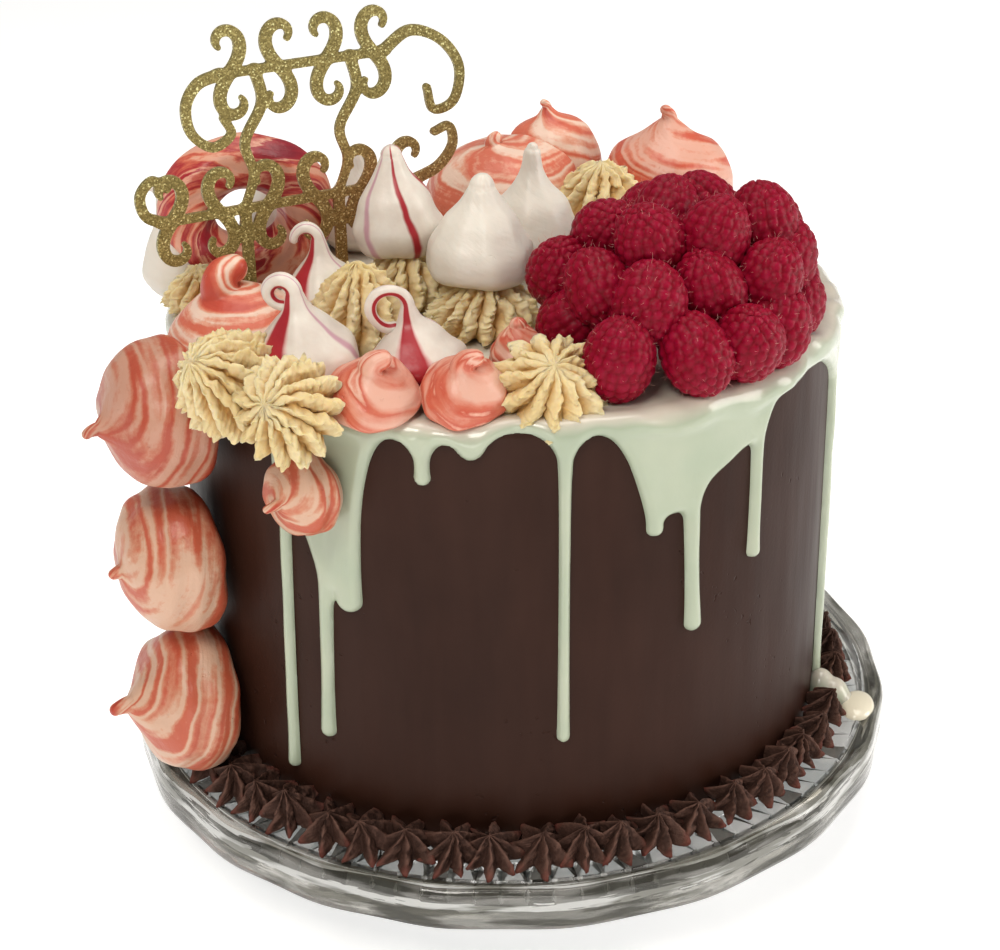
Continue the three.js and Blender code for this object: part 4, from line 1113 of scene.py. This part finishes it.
RASPBERRY_WIDTH = 20.8
RASPBERRY_LENGTH = 25
RASPBERRY_MIDDLES = [
    (31, -84, 184), (52, -81, 184), (67, -74, 184), (76, -62, 184), (82.5, -42, 184),
    (20, -58, 184), (84, -22, 184), (76, 0, 184), (60, 13, 184), (42, 14, 184), (30, -14, 184),
    (40, -74, 196), (57, -64, 196), (74, -57, 196), (27, -62, 196), (17, -45, 194.5),
    (80, -41, 196), (79, -12, 197.5), (62, 0, 196), (44, -8, 196.5),
    (41, -57, 207.5), (59, -54, 207.5), (74, -40, 206.5), (30, -41, 204.5), (48, -25, 204), (60, -14, 202.5),
]
DRUPELET_ROWS = 12
DRUPELETS_ROUND = 19
DRUPELET_RADIUS = 0.19
HAIRY_SHARE = 0.5


def drupelets(draw):
    """Directions of the drupelets, laid in bricks from the crown to the tip."""
    places = []
    for row in range(DRUPELET_ROWS):
        polar = pi * (row + 0.6) / (DRUPELET_ROWS + 0.2)
        count = max(1, round(DRUPELETS_ROUND * sin(polar) ** 0.9))
        for k in range(count):
            azimuth = TAU * (k + 0.5 * (row % 2)) / count + draw.uniform(-0.07, 0.07)
            tilt = polar + draw.uniform(-0.045, 0.045)
            places.append((sin(tilt) * cos(azimuth), sin(tilt) * sin(azimuth), -cos(tilt)))
    return np.array(places)


def raspberry(seed):
    """A blunt cone of drupelets: the points, faces, a tone at each point that paints shade in the clefts and
    a highlight on the drupelets, and the drupelets' own places.
    """
    draw = np.random.default_rng(seed)
    cores = drupelets(draw)
    sizes = draw.uniform(0.88, 1.14, len(cores))
    rows, sides = 54, 108
    polar = pi * (np.arange(rows) + 0.5) / rows
    azimuth = TAU * np.arange(sides) / sides
    p, a = np.meshgrid(polar, azimuth, indexing="ij")
    ball = np.stack([np.sin(p) * np.cos(a), np.sin(p) * np.sin(a), -np.cos(p)], -1)
    ball = np.concatenate([ball.reshape(-1, 3), [[0, 0, -1], [0, 0, 1]]])
    away = np.arccos(np.clip(ball @ cores.T, -1, 1)) / sizes
    nearest = np.argmin(away, axis=1)
    first, second = np.sort(away, axis=1)[:, :2].T
    bulge = np.sqrt(np.clip(1 - (first / DRUPELET_RADIUS) ** 2, 0, 1))
    cleft = np.clip((second - first) / 0.08, 0, 1)
    up = ball[:, 2]
    oval = 0.02 * np.cos(2 * np.arctan2(ball[:, 1], ball[:, 0]) + seed)
    wide = 0.5 * RASPBERRY_WIDTH * (1 - 0.07 * up + oval)
    shape = ball * np.stack([wide, wide, np.full(len(ball), 0.5 * RASPBERRY_LENGTH)], -1)
    lumps = 0.022 * wobble(ball, 1.3, seed)
    shape *= (0.925 + lumps + 0.075 * bulge * (0.3 + 0.7 * cleft))[:, None]
    own = draw.uniform(-0.13, 0.13, len(cores))
    # Low tone in the clefts is painted shade and high tone on the drupelets a painted highlight, with a
    # random share of each drupelet's own.
    tones = 0.16 + 0.54 * bulge * (0.5 + 0.5 * cleft) + own[nearest] * bulge
    faces, _ = ring_faces(rows, sides)
    last = rows * sides
    for k in range(sides):
        m = (k + 1) % sides
        faces += [(last, m, k), (last + 1, (rows - 1) * sides + k, (rows - 1) * sides + m)]
    tips = cores * np.array([0.5 * RASPBERRY_WIDTH, 0.5 * RASPBERRY_WIDTH, 0.5 * RASPBERRY_LENGTH])
    return shape, faces, tones, tips


def hairs(tips, draw):
    """One fine hair on about half of the drupelets, bent a little."""
    points, faces = [], []
    for tip in tips:
        if draw.uniform() < HAIRY_SHARE:
            continue
        out = tip / np.linalg.norm(tip)
        sideways = draw.normal(size=3)
        sideways -= out * (sideways @ out)
        sideways /= np.linalg.norm(sideways)
        other = np.cross(out, sideways)
        length = draw.uniform(0.8, 1.7)
        start = len(points)
        for share, thick in ((0, 0.05), (0.5, 0.04), (1, 0.02)):
            middle = tip * 0.99 + out * length * share + sideways * length * 0.45 * share**2
            for k in range(3):
                angle = TAU * k / 3
                points.append(middle + thick * (cos(angle) * sideways + sin(angle) * other))
        for ring in (start, start + 3):
            faces += [(ring + k, ring + (k + 1) % 3, ring + (k + 1) % 3 + 3, ring + k + 3) for k in range(3)]
        faces.append((start + 6, start + 7, start + 8))
    return np.array(points), faces


def make_raspberries():
    skin = raspberry_skin()
    strands = []
    for i, at in enumerate(RASPBERRY_MIDDLES):
        node = f"raspberry_{i + 1:02d}"
        points, faces, tones, tips = raspberry(700 + i)
        place = (at, 137.5 * i, 10 + (i * 31) % 40)
        piece(node + "_fruit", leaned(points, *place), faces, skin, "raspberry", [node], tones=tones)
        hair_points, hair_faces = hairs(tips, np.random.default_rng(900 + i))
        strands.append((leaned(hair_points, *place), hair_faces))
    piece("raspberry_hairs", *joined(strands), raspberry_hair(), "raspberry")


# ---- Camera, light and floor ----

# The camera stands in front of the cake, 587 mm out and 398 mm up, and looks down by about 26 degrees.
CAMERA_PLACE = (0.0, -587.15, 397.66)
CAMERA_TILT = 63.769
CAMERA_YAW = 0.2133
CAMERA_ROLL = -1.1663
CAMERA_LENS = 72.59

# Each light, in metres and watts: place, size, power and colour. All shine at the middle of the cake.
WARM_WHITE = (1.0, 0.95, 0.88)
LIGHTS = {
    "key": ((-0.35, -0.85, 1.25), (0.5, 0.5), 8.8, WARM_WHITE),
    "side": ((1.15, -0.05, 0.45), (0.5, 0.8), 7, (1.0, 0.95, 0.9)),
    "low": ((-0.15, -1.3, 0.12), (0.8, 0.3), 3.0, WARM_WHITE),
    "top": ((0.1, 0.25, 1.5), (0.9, 0.9), 9.8, WARM_WHITE),
}
LIT_POINT = (0, 0, 0.12)
WORLD_LIGHT = 0.27
FLOOR_GLOW = 0.55
FLOOR_REACH = 4.0
FLOOR_DROP = 0.0005


def make_camera():
    data = bpy.data.cameras.new("camera")
    data.lens = CAMERA_LENS
    data.sensor_width = 36
    data.clip_start = 0.01
    camera = add_object("camera", data)
    turned = Matrix.Translation(Vector(CAMERA_PLACE) * MM)
    for angle, axis in ((CAMERA_YAW, "Z"), (CAMERA_TILT, "X"), (CAMERA_ROLL, "Z")):
        turned = turned @ Matrix.Rotation(radians(angle), 4, axis)
    camera.matrix_world = turned
    bpy.context.scene.camera = camera


def soft_light(name, place, size, power, colour):
    data = bpy.data.lights.new(name, "AREA")
    data.shape = "RECTANGLE"
    data.size, data.size_y = size
    data.energy = power
    data.color = colour
    light = add_object(name, data)
    light.location = place
    light.rotation_mode = "QUATERNION"
    light.rotation_quaternion = (Vector(place) - Vector(LIT_POINT)).to_track_quat("Z", "Y")


def make_studio():
    sheet = bpy.data.meshes.new("floor")
    corners = [(x * FLOOR_REACH, y * FLOOR_REACH, 0) for x, y in ((-1, -1), (1, -1), (1, 1), (-1, 1))]
    sheet.from_pydata(corners, [], [(0, 1, 2, 3)])
    sheet.materials.append(pale_floor())
    floor = add_object("floor", sheet)
    floor.location.z = -FLOOR_DROP
    for name, light in LIGHTS.items():
        soft_light(name, *light)
    world = bpy.data.worlds.new("studio")
    bpy.context.scene.world = world
    world.use_nodes = True
    sky = world.node_tree.nodes["Background"].inputs
    sky["Color"].default_value = (1, 1, 1, 1)
    sky["Strength"].default_value = WORLD_LIGHT
    bpy.context.scene.view_settings.view_transform = "Standard"


make_camera()
make_studio()
make_stand()
make_cake()
make_icing()
make_border()
make_topper()
make_raspberries()
make_meringues()
make_rosettes()
